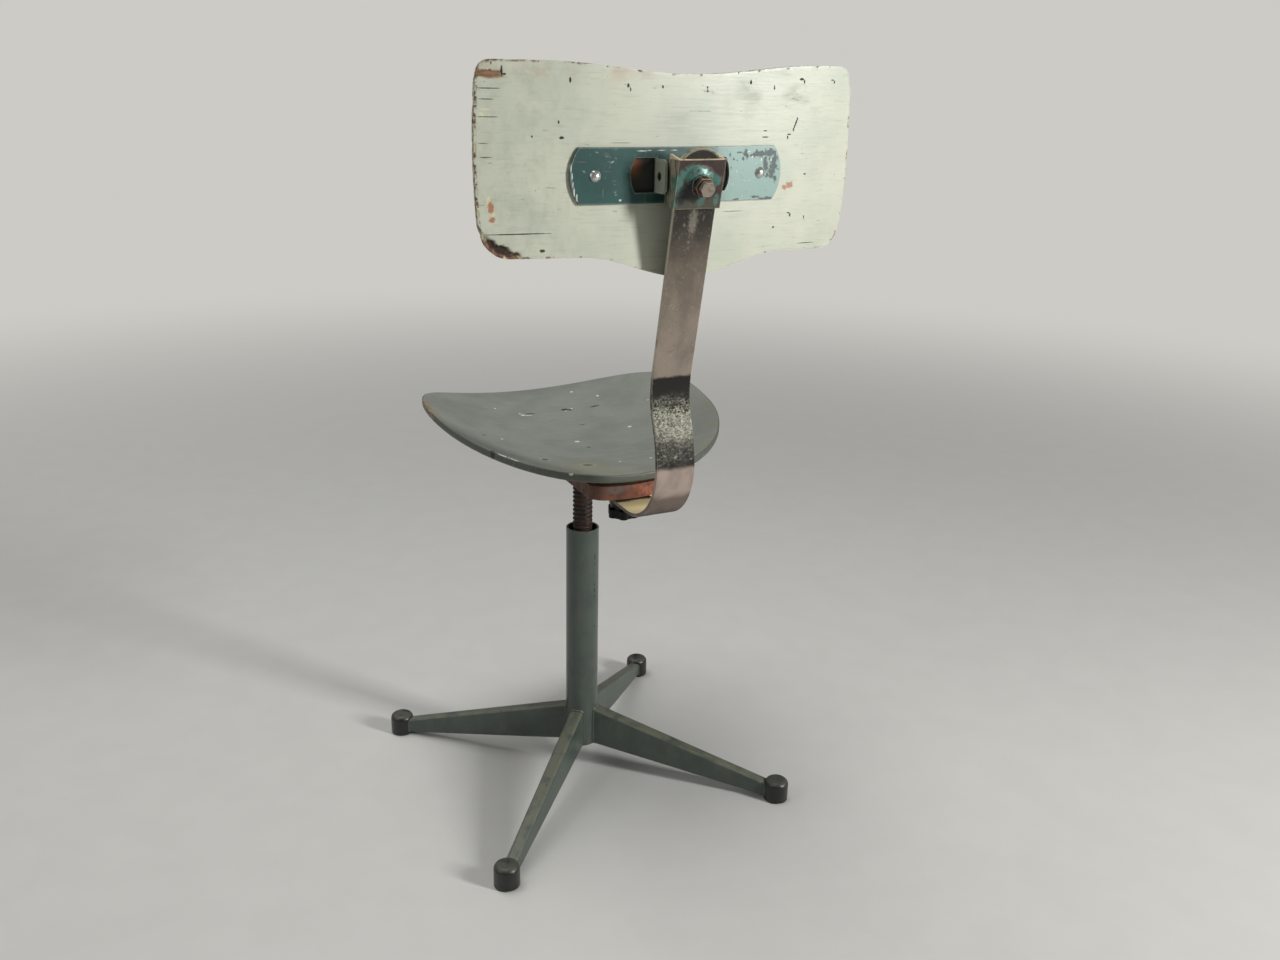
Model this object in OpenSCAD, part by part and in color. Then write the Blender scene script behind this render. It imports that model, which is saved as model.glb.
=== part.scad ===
// Industrial swivel work chair: a screw spindle in a four-arm base carries a dished
// plywood seat, and a bent spring-steel bar carries a backrest that slides and tilts.
// Millimetres. Origin on the column axis at the floor, +Z up, the sitter faces -Y.

/* [Base] */
// Distance from the column axis to the middle of each foot
foot_circle_r = 257.5; // [180:0.5:320]
// Turn of the base under the seat at rest, in degrees
base_turn = 48; // [0:1:89]
// Outside diameter of a foot cap
foot_d = 29.5; // [24:0.5:36]
// Height of a foot cap over the floor
foot_h = 27.8; // [24:0.2:36]
// Rounding of a foot cap's top edge
foot_round = 6.5; // [3:0.5:9]
// How far the rubber pad stands out below its foot cap
pad_show = 1; // [0.5:0.1:2]
// Thickness of the rubber pad
pad_t = 4.5; // [3:0.5:8]
// Wall of the foot cap around its rubber pad
foot_rim = 2.2; // [1.5:0.1:4]
// Depth of an arm where it meets the column
arm_root_h = 51; // [40:1:60]
// Width of an arm where it meets the column
arm_root_w = 17.5; // [14:0.5:22]
// Depth of an arm where it meets its foot
arm_tip_h = 19; // [14:0.5:22]
// Width of an arm where it meets its foot
arm_tip_w = 14.5; // [10:0.5:18]
// Rounding of an arm's long edges
arm_round = 4; // [2:0.5:6]
// Height of an arm's underside at its foot
arm_tip_z = 3; // [2:0.5:5]

/* [Column and spindle] */
// Outside diameter of the column tube
column_d = 40; // [36:0.5:50]
// Wall of the column tube
column_wall = 2.5; // [1.5:0.1:4]
// Height of the column's lower end over the floor
column_z = 38; // [30:1:50]
// Height of the column's upper end over the floor
column_top_z = 333.5; // [300:0.5:360]
// Outside diameter of the spindle over its thread
spindle_d = 24; // [20:0.5:28]
// Rise of the spindle in one turn
thread_pitch = 5.5; // [4:0.1:8]
// Turns that lower the seat from where it stands
turns_down = 11; // [2:1:11]
// Turns that raise the seat from where it stands
turns_up = 13; // [4:1:18]
// Length of the threaded nut in the column
nut_l = 35; // [20:1:50]
// Depth of the nut below the column's upper end
nut_recess = 12; // [5:1:20]
// Radial clearance of the spindle in its nut
nut_play = 0.06; // [0.02:0.01:0.1]
// Thickness of the stop washer at the spindle's foot
stop_t = 4; // [3:0.5:8]
// Diameter of the spigot that carries the stop washer
spigot_d = 14; // [11:0.5:16]
// Outside diameter of the collar under the seat pan
collar_d = 36; // [32:0.5:46]

/* [Seat pan and seat] */
// Depth of the pan's turned-down rim
pan_h = 15.9; // [14:0.1:22]
// Sheet thickness of the pan
pan_t = 2.5; // [2:0.1:4]
// Width of the pan
pan_w = 91; // [86:1:120]
// Length of the pan in front of the column axis
pan_front = 118; // [112:1:140]
// Length of the pan behind the column axis, at its corners
pan_rear = 120; // [116:1:140]
// Bulge of the pan's rear edge past its corners
pan_bulge = 11; // [4:1:16]
// Distance of the seat bolts from the middle plane
bolt_x = 36; // [34:0.5:37]
// Distance of the seat bolts from the column axis, fore and aft
bolt_y = 103; // [90:1:105]
// Diameter of the seat bolts
bolt_d = 6; // [5:0.5:8]
// Height of the seat's top over the floor, in its middle
seat_z = 443; // [440:0.5:450]
// Thickness of the seat plywood
seat_t = 9.5; // [6:0.5:12]
// Half width of the seat
seat_half_w = 169; // [150:1:200]
// Seat length in front of its widest line
seat_front = 190; // [160:1:230]
// Seat length behind its widest line
seat_rear = 167; // [150:1:200]
// How far the widest line lies in front of the column axis
seat_offset = 11.4; // [0:0.2:20]
// Rise of the seat's sides over its middle
side_rise = 39.4; // [20:0.2:50]
// Rise of the seat's front edge over its middle
front_rise = 13; // [4:0.5:20]
// Rise of the seat's rear edge over its middle
rear_rise = 7.5; // [4:0.5:14]
// Share of its half width that the seat gains toward the front
seat_flare = 0.137; // [0:0.001:0.25]

/* [Back bar] */
// Width of the bar
bar_w = 43; // [36:0.5:48]
// Thickness of the bar
bar_t = 4.5; // [3:0.1:6]
// Distance from the column axis to the bar's forward end
bar_end_y = 66; // [60:1:72]
// Distance from the column axis to the start of the lower bend
bend_y = 168; // [160:1:190]
// Centre-line radius of the lower bend
bend_r = 67; // [50:1:80]
// Angle through which the bar leans forward above the bend
hip_angle = 20.5; // [10:0.5:30]
// Centre-line radius of that forward curve
hip_r = 106; // [60:1:140]
// Straight length between the two upper curves
waist_run = 10.5; // [2:0.5:30]
// Centre-line radius of the curve that leans the bar back
waist_r = 88; // [60:1:140]
// Backward lean of the bar's long upper run, in degrees
lean = 11.9; // [5:0.1:16]
// Length of the bar's long upper run
upper_run = 226; // [200:1:260]
// Radius of the bar's rounded top end
bar_end_r = 25; // [22:0.5:40]
// Travel of the bar forward from where it stands
depth_in = 20; // [5:1:22]
// Travel of the bar backward from where it stands
depth_out = 25; // [5:1:28]
// Distance from the column axis to the clamping stud
stud_y = 114; // [108:0.5:116]
// Diameter of the clamping stud
stud_d = 10; // [8:0.5:12]
// Diameter of the clamping knob over its lobes
knob_d = 36; // [30:1:44]
// Height of the clamping knob's lobed body
knob_h = 10; // [8:0.5:14]
// Height of the hub between the lobes and the bar
knob_hub_h = 11.5; // [8:0.5:14]

/* [Backrest clamp] */
// Distance from the bar's top end down to the middle of the clamp
clamp_from_top = 33; // [31:0.5:60]
// Height of the clamp along the bar
clamp_h = 46; // [42:0.5:60]
// Sheet thickness of the clamp
clamp_t = 2.5; // [2:0.1:3.5]
// Clearance between the bar and the clamp
clamp_play = 0.3; // [0.2:0.05:0.5]
// Depth of the clamp's side walls in front of the bar's middle
cheek_depth = 14; // [10:0.5:16]
// Distance from the bar's middle to the hinge pin
pin_n = 21.5; // [20:0.1:24]
// Diameter of the hinge pin
pin_d = 8; // [6:0.5:10]
// Radius of the clamp's lugs around the hinge pin
lug_r = 10; // [8:0.1:10]
// Height of the dome pressed into the clamp's rear wall
dome_h = 5; // [3:0.1:7]
// Radius of that dome where it leaves the wall
dome_r = 18.5; // [14:0.5:20]
// Width of the weld nut across its flats
weld_nut_af = 17; // [15:0.5:19]
// Height of the weld nut
weld_nut_h = 7; // [5:0.5:9]
// Diameter of the clamping screw
clamp_screw_d = 8; // [6:0.5:10]
// Width of the clamping screw's head across its flats
screw_head_af = 13; // [10:0.5:15]
// Height of the clamping screw's head
screw_head_h = 5.3; // [4:0.1:8]

/* [Backrest] */
// Length of the pivot plate
plate_l = 223; // [200:1:260]
// Height of the pivot plate
plate_h = 51; // [44:0.5:60]
// Sheet thickness of the pivot plate
plate_t = 2.5; // [2:0.1:3.5]
// Radius of the pivot plate's round ends
plate_end_r = 41; // [32:1:60]
// Distance of the rivets from the middle plane
rivet_x = 87; // [75:0.5:92]
// Diameter of a rivet's domed head
rivet_head_d = 11; // [8:0.5:14]
// Length of the window in the pivot plate
window_l = 104; // [90:1:120]
// Height of the window, and of the ears bent out of it
window_h = 31; // [28:0.5:36]
// Length of an ear behind the plate
ear_l = 23; // [18:0.5:25]
// Distance from the rear face of the plate to the hinge pin
pin_from_plate = 11; // [10.2:0.1:13]
// Width of the backrest at its widest
back_w = 395; // [360:1:440]
// Height of the backrest's upper corners over its rivet line
back_up = 99; // [80:1:120]
// Height of the backrest's lower corners below its rivet line
back_down = 75; // [60:1:90]
// Dip in the middle of the backrest's top edge
top_dip = 9.5; // [0:0.5:20]
// Drop in the middle of the backrest's bottom edge
bottom_drop = 21.5; // [0:0.5:30]
// How much higher the backrest's lower left corner is than the middle of its two lower corners
bottom_skew = 2.5; // [0:0.5:6]
// How far the dip and the drop stand off the middle, toward the sitter's right
curve_shift = 10; // [0:1:20]
// Thickness of the backrest plywood
back_t = 9.5; // [6:0.5:12]
// Radius of the backrest's rear face
back_r = 1500; // [900:10:2000]

/* [Hidden] */
$fn = 64;

// Clearances: a gap between seated faces, a running gap, and a flat joint's gap
seat_gap = 0.3;
run_gap = 0.05;
touch_gap = 0.1;
// A margin by which a cutting solid passes the face that it cuts
past = 1;

// Column and spindle heights
column_id = column_d - 2 * column_wall;
nut_top_z = column_top_z - nut_recess;
nut_z = nut_top_z - nut_l;
stop_top_z = nut_z - turns_up * thread_pitch;
spigot_l = stop_t + seat_gap;
spindle_z = stop_top_z - spigot_l + seat_gap / 2;
collar_spare = 2;
collar_z = column_top_z + turns_down * thread_pitch + collar_spare;
stop_bolt_d = 8;
stop_bolt_l = 25;
stop_bolt_head = 6;

// Foot and arm places
pad_d = foot_d - 2 * foot_rim;
arm_root_r = column_d / 2 - 4;
arm_tip_r = foot_circle_r - foot_d / 2 + 5;
arm_angles = [base_turn, base_turn + 90, base_turn + 180, base_turn + 270];

// Pan, saddle and bar heights
pan_corner_r = 12;
pan_z = seat_z - seat_t - seat_gap;
pan_under_z = pan_z - pan_t;
spindle_top_z = pan_z - touch_gap;
rim_z = pan_z - pan_h;
bar_top_z = rim_z - seat_gap;
bar_mid_z = bar_top_z - bar_t / 2;
bar_under_z = bar_top_z - bar_t;
guide_drop = 3.5;
guide_t = 3;
saddle_front = 54;
saddle_rear = 9;
saddle_y = [stud_y - saddle_front, stud_y + saddle_rear];
guide_end_y = stud_y - 6;
slot_w = stud_d + 0.8;
slot_ends = [stud_y - depth_out - 0.4, stud_y + depth_in + 0.4];
knob_hub_r = [14, 17];
knob_lobes = 6;
knob_lobe_r = 5.5;
knob_core_r = knob_d / 2 - 3;
knob_twist = 8;
knob_washer_t = 2;
knob_top_z = bar_under_z - knob_washer_t - seat_gap;
stud_end_z = knob_top_z - knob_hub_h;

// The bar's forward end as [y, z, turn], and its centre line as [length or radius, turn in
// degrees], a straight run having no turn
bar_start = [bar_end_y, bar_mid_z, 0];
bar_path = [
    [bend_y - bar_end_y, 0],
    [bend_r, 90],
    [hip_r, hip_angle],
    [waist_run, 0],
    [waist_r, -hip_angle - lean],
    [upper_run, 0]
];

// Where the clamp sits and how it is turned with the bar
bar_tip = walk(bar_start, len(bar_path));
clamp_y = bar_tip[0] - clamp_from_top * sin(lean);
clamp_z = bar_tip[1] - clamp_from_top * cos(lean);
web_in = bar_t / 2 + clamp_play;
web_out = web_in + clamp_t;
cheek_in = bar_w / 2 + clamp_play;
cheek_out = cheek_in + clamp_t;
dome_ball_r = (dome_r * dome_r + dome_h * dome_h) / (2 * dome_h);
dome_flat = 1;
dome_top = web_out + dome_h - dome_flat;
clamp_pad_t = 1.2 * clamp_t;
clamp_pad_h = 0.86 * clamp_h;
nut_top = dome_top + weld_nut_h;
screw_chamfer = 1;

// Hinge pin in the chair's frame, and the plate and ears around it
pin_y = clamp_y - pin_n * cos(lean);
pin_z = clamp_z + pin_n * sin(lean);
washer_t = 1.6;
ear_in = cheek_out + washer_t + 2 * 0.2;
ear_out = ear_in + plate_t;
plate_y = pin_y - pin_from_plate;
shell_y = plate_y - plate_t - touch_gap;
wing_x = 40;
wing_turn = 2.93;
window_end_r = 30;
bend_in = 2;
ear_r = 6;
back_steps = 24;
side_bow = 6;
back_corner_up = 13;
back_corner_down = 24;
rivet_d = 6;
rivet_turn = asin(rivet_x / back_r);
rivet_rear = plate_t + 4 * touch_gap;
rivet_head_h = 0.3 * rivet_head_d;
rivet_ball_r = (rivet_head_h * rivet_head_h + rivet_head_d * rivet_head_d / 4) / (2 * rivet_head_h);

// Seat mesh: points round it, the power of its rounded outline, and its rings as
// [share of the outline, share of the thickness] from the middle of the top to the middle below
seat_steps = 60;
seat_power = 2 / 2.32;
seat_rings = [
    [0.22, 0], [0.42, 0], [0.6, 0], [0.77, 0], [0.9, 0], [0.985, 0],
    [1, 0.3], [1, 0.7],
    [0.985, 1], [0.9, 1], [0.77, 1], [0.6, 1], [0.42, 1], [0.22, 1]
];
spacer_d = 16;
insert_d = 9;
insert_l = 7;

// Place and turn after a number of the bar's segments, as [y, z, turn]
function step(at, seg) = seg[1] == 0
    ? [at[0] + seg[0] * cos(at[2]), at[1] + seg[0] * sin(at[2]), at[2]]
    : let (side = sign(seg[1]), end = at[2] + seg[1])
      [at[0] + side * seg[0] * (sin(end) - sin(at[2])),
       at[1] - side * seg[0] * (cos(end) - cos(at[2])),
       end];
function walk(at, count, i = 0) = i == count ? at : walk(step(at, bar_path[i]), count, i + 1);

// Side outline of the bar at a distance off its centre line, bends in steps of about bend_step
bend_step = 3;
function part_of(seg, share) = seg[1] == 0 ? [seg[0] * share, 0] : [seg[0], seg[1] * share];
function beside(at, off) = [at[0] - off * sin(at[2]), at[1] + off * cos(at[2])];
function bar_side(off) = concat([beside(bar_start, off)],
    [for (i = [0:len(bar_path) - 1])
        let (seg = bar_path[i], at = walk(bar_start, i),
             parts = max(1, ceil(abs(seg[1]) / bend_step)))
        for (k = [1:parts]) beside(step(at, part_of(seg, k / parts)), off)]);
function reversed(list) = [for (i = [len(list) - 1:-1:0]) list[i]];

// Points of a round corner of radius r at c, between the neighbours p and n
function unit(v) = v / norm(v);
function corner(p, c, n, r, steps = 8) =
    let (u = unit(p - c), v = unit(n - c), half = acos(u * v) / 2,
         o = c + unit(u + v) * r / sin(half),
         a = c + u * r / tan(half) - o, b = c + v * r / tan(half) - o,
         a0 = atan2(a[1], a[0]), turn = asin((a[0] * b[1] - a[1] * b[0]) / (r * r)))
    [for (k = [0:steps]) o + r * [cos(a0 + turn * k / steps), sin(a0 + turn * k / steps)]];

// Height of the seat's top at x to the side and f in front of the column axis
function seat_top(x, f) =
    let (u = x / seat_half_w, w = f / seat_front,
         bow = f < 0 ? [rear_rise * 3.2, -rear_rise * 2.2] : [front_rise * 2.3, -front_rise * 1.3])
    seat_z + side_rise * (0.66 * u * u + 0.34 * pow(u, 4)) + bow[0] * w * w + bow[1] * pow(w, 4);

// Outline of the seat: half width and reach follow a rounded-square curve
function seat_edge(i, shrink) =
    let (a = 360 * i / seat_steps, c = cos(a), s = sin(a),
         reach = s > 0 ? seat_front : seat_rear,
         f = reach * sign(s) * pow(abs(s), seat_power),
         x = seat_half_w * sign(c) * pow(abs(c), seat_power) * (1 + seat_flare * f / seat_front))
    shrink * [x, f] + [0, seat_offset];
function seat_point(x, f, depth) = [x, -f, seat_top(x, f) - depth * seat_t];

// Height of a rubber spacer and of an insert's lower face, for the front (-1) or rear (1) bolts
function spacer_h(sy) =
    seat_top(bolt_x - spacer_d / 2, -sy * (bolt_y - spacer_d / 2)) - seat_t - pan_z - seat_gap / 2;
function insert_z(sy) = seat_top(bolt_x + insert_d / 2, -sy * (bolt_y + insert_d / 2)) - seat_t;

// One base arm: a tapered bar between the column and its foot cap
module arm(i) {
    color("#4b554c") rotate([0, 0, arm_angles[i]]) difference() {
        hull() {
            arm_section(arm_root_r, column_z + arm_root_h / 2, arm_root_w, arm_root_h);
            arm_section(arm_tip_r, arm_tip_z + arm_tip_h / 2, arm_tip_w, arm_tip_h);
        }
        rotate([0, 0, 180]) translate([0, 0, -past])
            cylinder(d = column_d, h = column_top_z);
        translate([foot_circle_r, 0, -past])
            cylinder(d = foot_d + 2 * touch_gap, h = foot_h + 2 * past);
    }
}

// A rounded upright slice of an arm at distance r from the column axis
module arm_section(r, z, w, h) {
    translate([r, 0, z]) rotate([90, 0, 90]) linear_extrude(0.5, center = true)
        for (sx = [-1, 1], sy = [-1, 1])
            translate([sx * (w / 2 - arm_round), sy * (h / 2 - arm_round)])
                circle(r = arm_round, $fn = 12);
}

// The turned foot cap with its round top and the recess for its pad
module foot_cap(i) {
    r = foot_d / 2;
    color("#434c43") rotate([0, 0, arm_angles[i]]) translate([foot_circle_r, 0, 0])
        rotate_extrude() difference() {
            union() {
                translate([0, pad_show]) square([r, foot_h - foot_round - pad_show]);
                square_top = r - foot_round;
                translate([0, pad_show]) square([square_top, foot_h - pad_show]);
                intersection() {
                    translate([square_top, foot_h - foot_round]) circle(r = foot_round);
                    translate([0, foot_h - foot_round]) square([r, foot_round]);
                }
            }
            translate([-past, 0]) square([pad_d / 2 + touch_gap + past, pad_t]);
        }
}

// The rubber pad that stands on the floor
module rubber_pad(i) {
    color("#2b2d2a") rotate([0, 0, arm_angles[i]]) translate([foot_circle_r, 0, 0])
        cylinder(d = pad_d, h = pad_t);
}

// The upright tube of the base
module column_tube() {
    color("#4a544b") translate([0, 0, column_z]) difference() {
        cylinder(d = column_d, h = column_top_z - column_z);
        translate([0, 0, -past]) cylinder(d = column_id, h = column_top_z + 2 * past);
    }
}

// The threaded nut that is fixed inside the column's upper end
module spindle_nut() {
    color("#3a3632") translate([0, 0, nut_z]) difference() {
        cylinder(d = column_id, h = nut_l);
        translate([0, 0, -past]) cylinder(d = spindle_d + 2 * nut_play, h = nut_l + 2 * past);
    }
}

// The loose washer that stops the spindle at the nut's lower face
module stop_washer() {
    color("#5a5550") translate([0, 0, stop_top_z - stop_t]) difference() {
        cylinder(d = column_id - 1.2, h = stop_t);
        translate([0, 0, -past]) cylinder(d = spigot_d + 2 * run_gap, h = stop_t + 2 * past);
    }
}

// The screw spindle: a long thread, a spigot at its foot and a tapped hole for the bolt
module spindle() {
    shoulder_z = stop_top_z + seat_gap / 2;
    color("#2f2622") difference() {
        union() {
            translate([0, 0, shoulder_z]) cylinder(d = spindle_d, h = spindle_top_z - shoulder_z);
            translate([0, 0, spindle_z]) cylinder(d = spigot_d, h = shoulder_z - spindle_z);
        }
        translate([0, 0, spindle_z - past])
            cylinder(d = stop_bolt_d + 2 * run_gap, h = stop_bolt_l + past + 1);
    }
}

// The bolt that holds the stop washer on the spindle
module stop_bolt() {
    color("#6a655e") {
        translate([0, 0, spindle_z]) cylinder(d = stop_bolt_d, h = stop_bolt_l);
        translate([0, 0, spindle_z - stop_bolt_head])
            cylinder(d = spigot_d + 5, h = stop_bolt_head, $fn = 6);
    }
}

// The collar that joins the spindle to the seat pan
module spindle_collar() {
    color("#3b302a") translate([0, 0, collar_z]) difference() {
        cylinder(d = collar_d, h = pan_under_z - collar_z);
        translate([0, 0, -past]) cylinder(d = spindle_d + 2 * run_gap, h = pan_under_z);
    }
}

// Plan of the seat pan, drawn in by d: straight sides, round corners and a bulged rear edge
module pan_plan(d) {
    half = pan_w / 2 - d;
    front = -pan_front + d;
    rear = pan_rear - d;
    corner_r = pan_corner_r - d / 2;
    rear_r = (half * half + pan_bulge * pan_bulge) / (2 * pan_bulge);
    a = [-half, front];
    b = [half, front];
    c = [half, rear];
    e = [-half, rear];
    polygon(concat(corner(e, a, b, corner_r), corner(a, b, c, corner_r), [c, e]));
    intersection() {
        translate([0, rear + pan_bulge - rear_r]) circle(r = rear_r, $fn = 128);
        translate([-half, 0]) square([2 * half, rear + pan_bulge]);
    }
}

// The pressed pan under the seat, open below
module seat_pan() {
    color("#93502f") difference() {
        translate([0, 0, rim_z]) linear_extrude(pan_h) pan_plan(0);
        translate([0, 0, rim_z - past]) linear_extrude(pan_h - pan_t + past) pan_plan(pan_t);
        translate([0, 0, rim_z]) cylinder(d = spindle_d + 2 * run_gap, h = pan_h + past);
        bolt_places() translate([0, 0, rim_z])
            cylinder(d = bolt_d + 2 * run_gap, h = pan_h + past);
    }
}

// The four places of the seat bolts
module bolt_places() {
    for (sx = [-1, 1], sy = [-1, 1])
        translate([sx * bolt_x, sy * bolt_y, 0]) children();
}

// The block in the pan that the bar bears on, with two ribs that guide it
module bar_saddle() {
    width = bar_w + 2 * (guide_t + seat_gap);
    top = pan_under_z - rim_z;
    color("#6f4430") difference() {
        union() {
            translate([-width / 2, saddle_y[0], rim_z])
                cube([width, saddle_y[1] - saddle_y[0], top]);
            for (sx = [-1, 1])
                translate([sx * (width / 2 - guide_t / 2) - guide_t / 2, saddle_y[0], rim_z - guide_drop])
                    cube([guide_t, guide_end_y - saddle_y[0], guide_drop]);
        }
        translate([0, stud_y, rim_z - past])
            cylinder(d = stud_d + 2 * run_gap, h = top + 2 * past);
    }
}

// The stud that hangs from the saddle, through the bar's slot, into the knob
module clamp_stud() {
    color("#4a4642") translate([0, stud_y, stud_end_z])
        cylinder(d = stud_d, h = pan_under_z - touch_gap - stud_end_z);
}

// The dished plywood seat, bored from below for its threaded inserts
module seat_shell() {
    last = len(seat_rings) - 1;
    points = concat(
        [for (ring = seat_rings, i = [0:seat_steps - 1])
            let (e = seat_edge(i, ring[0])) seat_point(e[0], e[1], ring[1])],
        [seat_point(0, seat_offset, 0), seat_point(0, seat_offset, 1)]);
    top_mid = len(points) - 2;
    under_mid = len(points) - 1;
    walls = [for (r = [0:last - 1], i = [0:seat_steps - 1])
        let (j = (i + 1) % seat_steps, a = r * seat_steps, b = a + seat_steps)
        each [[a + i, a + j, b + j], [a + i, b + j, b + i]]];
    caps = [for (i = [0:seat_steps - 1])
        let (j = (i + 1) % seat_steps, a = last * seat_steps)
        each [[top_mid, j, i], [under_mid, a + i, a + j]]];
    color("#7b8078") difference() {
        polyhedron(points = points, faces = concat(walls, caps), convexity = 6);
        for (sx = [-1, 1], sy = [-1, 1])
            translate([sx * bolt_x, sy * bolt_y, insert_z(sy) - 2 * past])
                cylinder(d = insert_d, h = insert_l + 2 * past);
    }
}

// The brass inserts in the seat's underside that take the seat bolts
module seat_inserts() {
    color("#a08a4c") for (sx = [-1, 1], sy = [-1, 1])
        translate([sx * bolt_x, sy * bolt_y, insert_z(sy)]) difference() {
            cylinder(d = insert_d, h = insert_l);
            translate([0, 0, -past]) cylinder(d = bolt_d + 2 * run_gap, h = insert_l + 2 * past);
        }
}

// The rubber spacers between the pan and the dished seat
module seat_spacers() {
    color("#262624") for (sx = [-1, 1], sy = [-1, 1])
        translate([sx * bolt_x, sy * bolt_y, pan_z]) difference() {
            cylinder(d = spacer_d, h = spacer_h(sy));
            translate([0, 0, -past]) cylinder(d = bolt_d + 2 * run_gap, h = spacer_h(sy) + 2 * past);
        }
}

// The hexagon bolts that hold the seat from below the pan
module seat_bolts() {
    head_h = 0.65 * bolt_d;
    color("#6d6a62") for (sx = [-1, 1], sy = [-1, 1])
        translate([sx * bolt_x, sy * bolt_y, pan_under_z - touch_gap - head_h]) {
            cylinder(d = 1.9 * bolt_d, h = head_h, $fn = 6);
            translate([0, 0, head_h])
                cylinder(d = bolt_d, h = insert_z(sy) + 0.9 * insert_l - pan_under_z + touch_gap);
        }
}

// The spring-steel back bar: one bent strip with a slot in its flat run and a round end
module back_bar() {
    color("#6c625a") difference() {
        intersection() {
            rotate([90, 0, 90]) linear_extrude(bar_w, center = true)
                polygon(concat(bar_side(-bar_t / 2), reversed(bar_side(bar_t / 2))));
            union() {
                translate([-bar_w, 0, 0]) cube([2 * bar_w, 2 * (bend_y + bend_r), clamp_z]);
                on_bar() {
                    translate([0, 0, clamp_from_top - bar_end_r]) rotate([90, 0, 0])
                        cylinder(r = bar_end_r, h = 4 * bar_t, center = true);
                    translate([-bar_w, -2 * bar_t, -bar_w])
                        cube([2 * bar_w, 4 * bar_t, bar_w + clamp_from_top - bar_end_r]);
                }
            }
        }
        translate([0, 0, bar_under_z - past]) {
            for (y = slot_ends) translate([0, y, 0]) cylinder(d = slot_w, h = bar_t + 2 * past);
            translate([-slot_w / 2, slot_ends[0], 0])
                cube([slot_w, slot_ends[1] - slot_ends[0], bar_t + 2 * past]);
        }
    }
}

// The steel washer between the knob and the bar
module knob_washer() {
    color("#55514b") translate([0, stud_y, bar_under_z - seat_gap / 2 - knob_washer_t]) difference() {
        cylinder(d = 2.4 * stud_d, h = knob_washer_t);
        translate([0, 0, -past]) cylinder(d = stud_d + 2 * run_gap, h = knob_washer_t + 2 * past);
    }
}

// The black lobed knob that clamps the bar
module clamp_knob() {
    color("#151515") translate([0, stud_y, knob_top_z - knob_hub_h - knob_h]) difference() {
        union() {
            linear_extrude(knob_h) {
                circle(r = knob_core_r);
                for (k = [1:knob_lobes]) rotate(360 / knob_lobes * k + knob_twist)
                    translate([knob_d / 2 - knob_lobe_r, 0]) circle(r = knob_lobe_r, $fn = 32);
            }
            translate([0, 0, knob_h])
                cylinder(r1 = knob_hub_r[0], r2 = knob_hub_r[1], h = knob_hub_h);
        }
        translate([0, 0, knob_h - past])
            cylinder(d = stud_d + 2 * run_gap, h = knob_hub_h + 2 * past);
    }
}

// Turns its children into the clamp's own frame: X to the side, Y behind the bar, Z along it
module on_bar() {
    translate([0, clamp_y, clamp_z]) rotate([-lean, 0, 0]) children();
}

// The sheet-steel clamp: a domed rear wall and two cheeks with lugs for the hinge pin
module clamp_box() {
    ball_y = web_out + dome_h - dome_ball_r;
    color("#5b3a2c") on_bar() difference() {
        union() {
            difference() {
                translate([-cheek_out, web_in, -clamp_h / 2])
                    cube([2 * cheek_out, clamp_t, clamp_h]);
                rotate([-90, 0, 0]) cylinder(r = dome_r - clamp_t, h = 2 * web_out);
            }
            intersection() {
                difference() {
                    translate([0, ball_y, 0]) sphere(r = dome_ball_r, $fn = 96);
                    translate([0, ball_y, 0]) sphere(r = dome_ball_r - clamp_t, $fn = 96);
                }
                translate([0, web_in, 0]) rotate([-90, 0, 0])
                    cylinder(r = dome_r, h = dome_top - web_in);
            }
            for (sx = [-1, 1]) translate([sx * (cheek_in + clamp_t / 2), 0, 0]) cheek();
        }
        rotate([-90, 0, 0]) cylinder(d = clamp_screw_d + 0.6, h = 2 * dome_top);
        translate([-2 * cheek_out, -pin_n, 0]) rotate([0, 90, 0])
            cylinder(d = pin_d + 2 * run_gap, h = 4 * cheek_out);
    }
}

// One cheek of the clamp with its lug
module cheek() {
    rotate([90, 0, 90]) linear_extrude(clamp_t, center = true) {
        translate([-cheek_depth, -clamp_h / 2]) square([cheek_depth + web_out, clamp_h]);
        hull() {
            translate([-pin_n, 0]) circle(r = lug_r, $fn = 48);
            translate([-cheek_depth, 0]) square([1, 0.72 * clamp_h], center = true);
        }
    }
}

// The plate between the cheeks that the bar is pressed against
module clamp_pad() {
    pad_w = 2 * (cheek_in - touch_gap);
    color("#4d3b33") on_bar()
        translate([-pad_w / 2, -web_in - clamp_pad_t, -clamp_pad_h / 2])
            cube([pad_w, clamp_pad_t, clamp_pad_h]);
}

// The hexagon nut welded on the dome
module weld_nut() {
    color("#7a6248") on_bar() translate([0, dome_top, 0]) rotate([-90, 0, 0]) difference() {
        cylinder(d = weld_nut_af / cos(30), h = weld_nut_h, $fn = 6);
        translate([0, 0, -past]) cylinder(d = clamp_screw_d + 2 * run_gap, h = weld_nut_h + 2 * past);
    }
}

// The hexagon screw that presses the bar against the pad
module clamp_screw() {
    tip = bar_t / 2 + run_gap;
    head = nut_top + seat_gap;
    corner_d = screw_head_af / cos(30);
    color("#86807a") on_bar() rotate([-90, 0, 0]) {
        translate([0, 0, tip])
            cylinder(d1 = clamp_screw_d - 2 * screw_chamfer, d2 = clamp_screw_d, h = screw_chamfer);
        translate([0, 0, tip + screw_chamfer])
            cylinder(d = clamp_screw_d, h = head - tip - screw_chamfer);
        translate([0, 0, head]) intersection() {
            cylinder(d = corner_d, h = screw_head_h, $fn = 6);
            cylinder(d1 = corner_d + 2 * screw_head_h, d2 = corner_d - screw_chamfer, h = screw_head_h);
        }
    }
}

// The pin through the ears and the clamp's lugs
module hinge_pin() {
    half = ear_out - 0.4;
    color("#3f3b38") translate([-half, pin_y, pin_z]) rotate([0, 90, 0])
        cylinder(d = pin_d, h = 2 * half);
}

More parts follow.
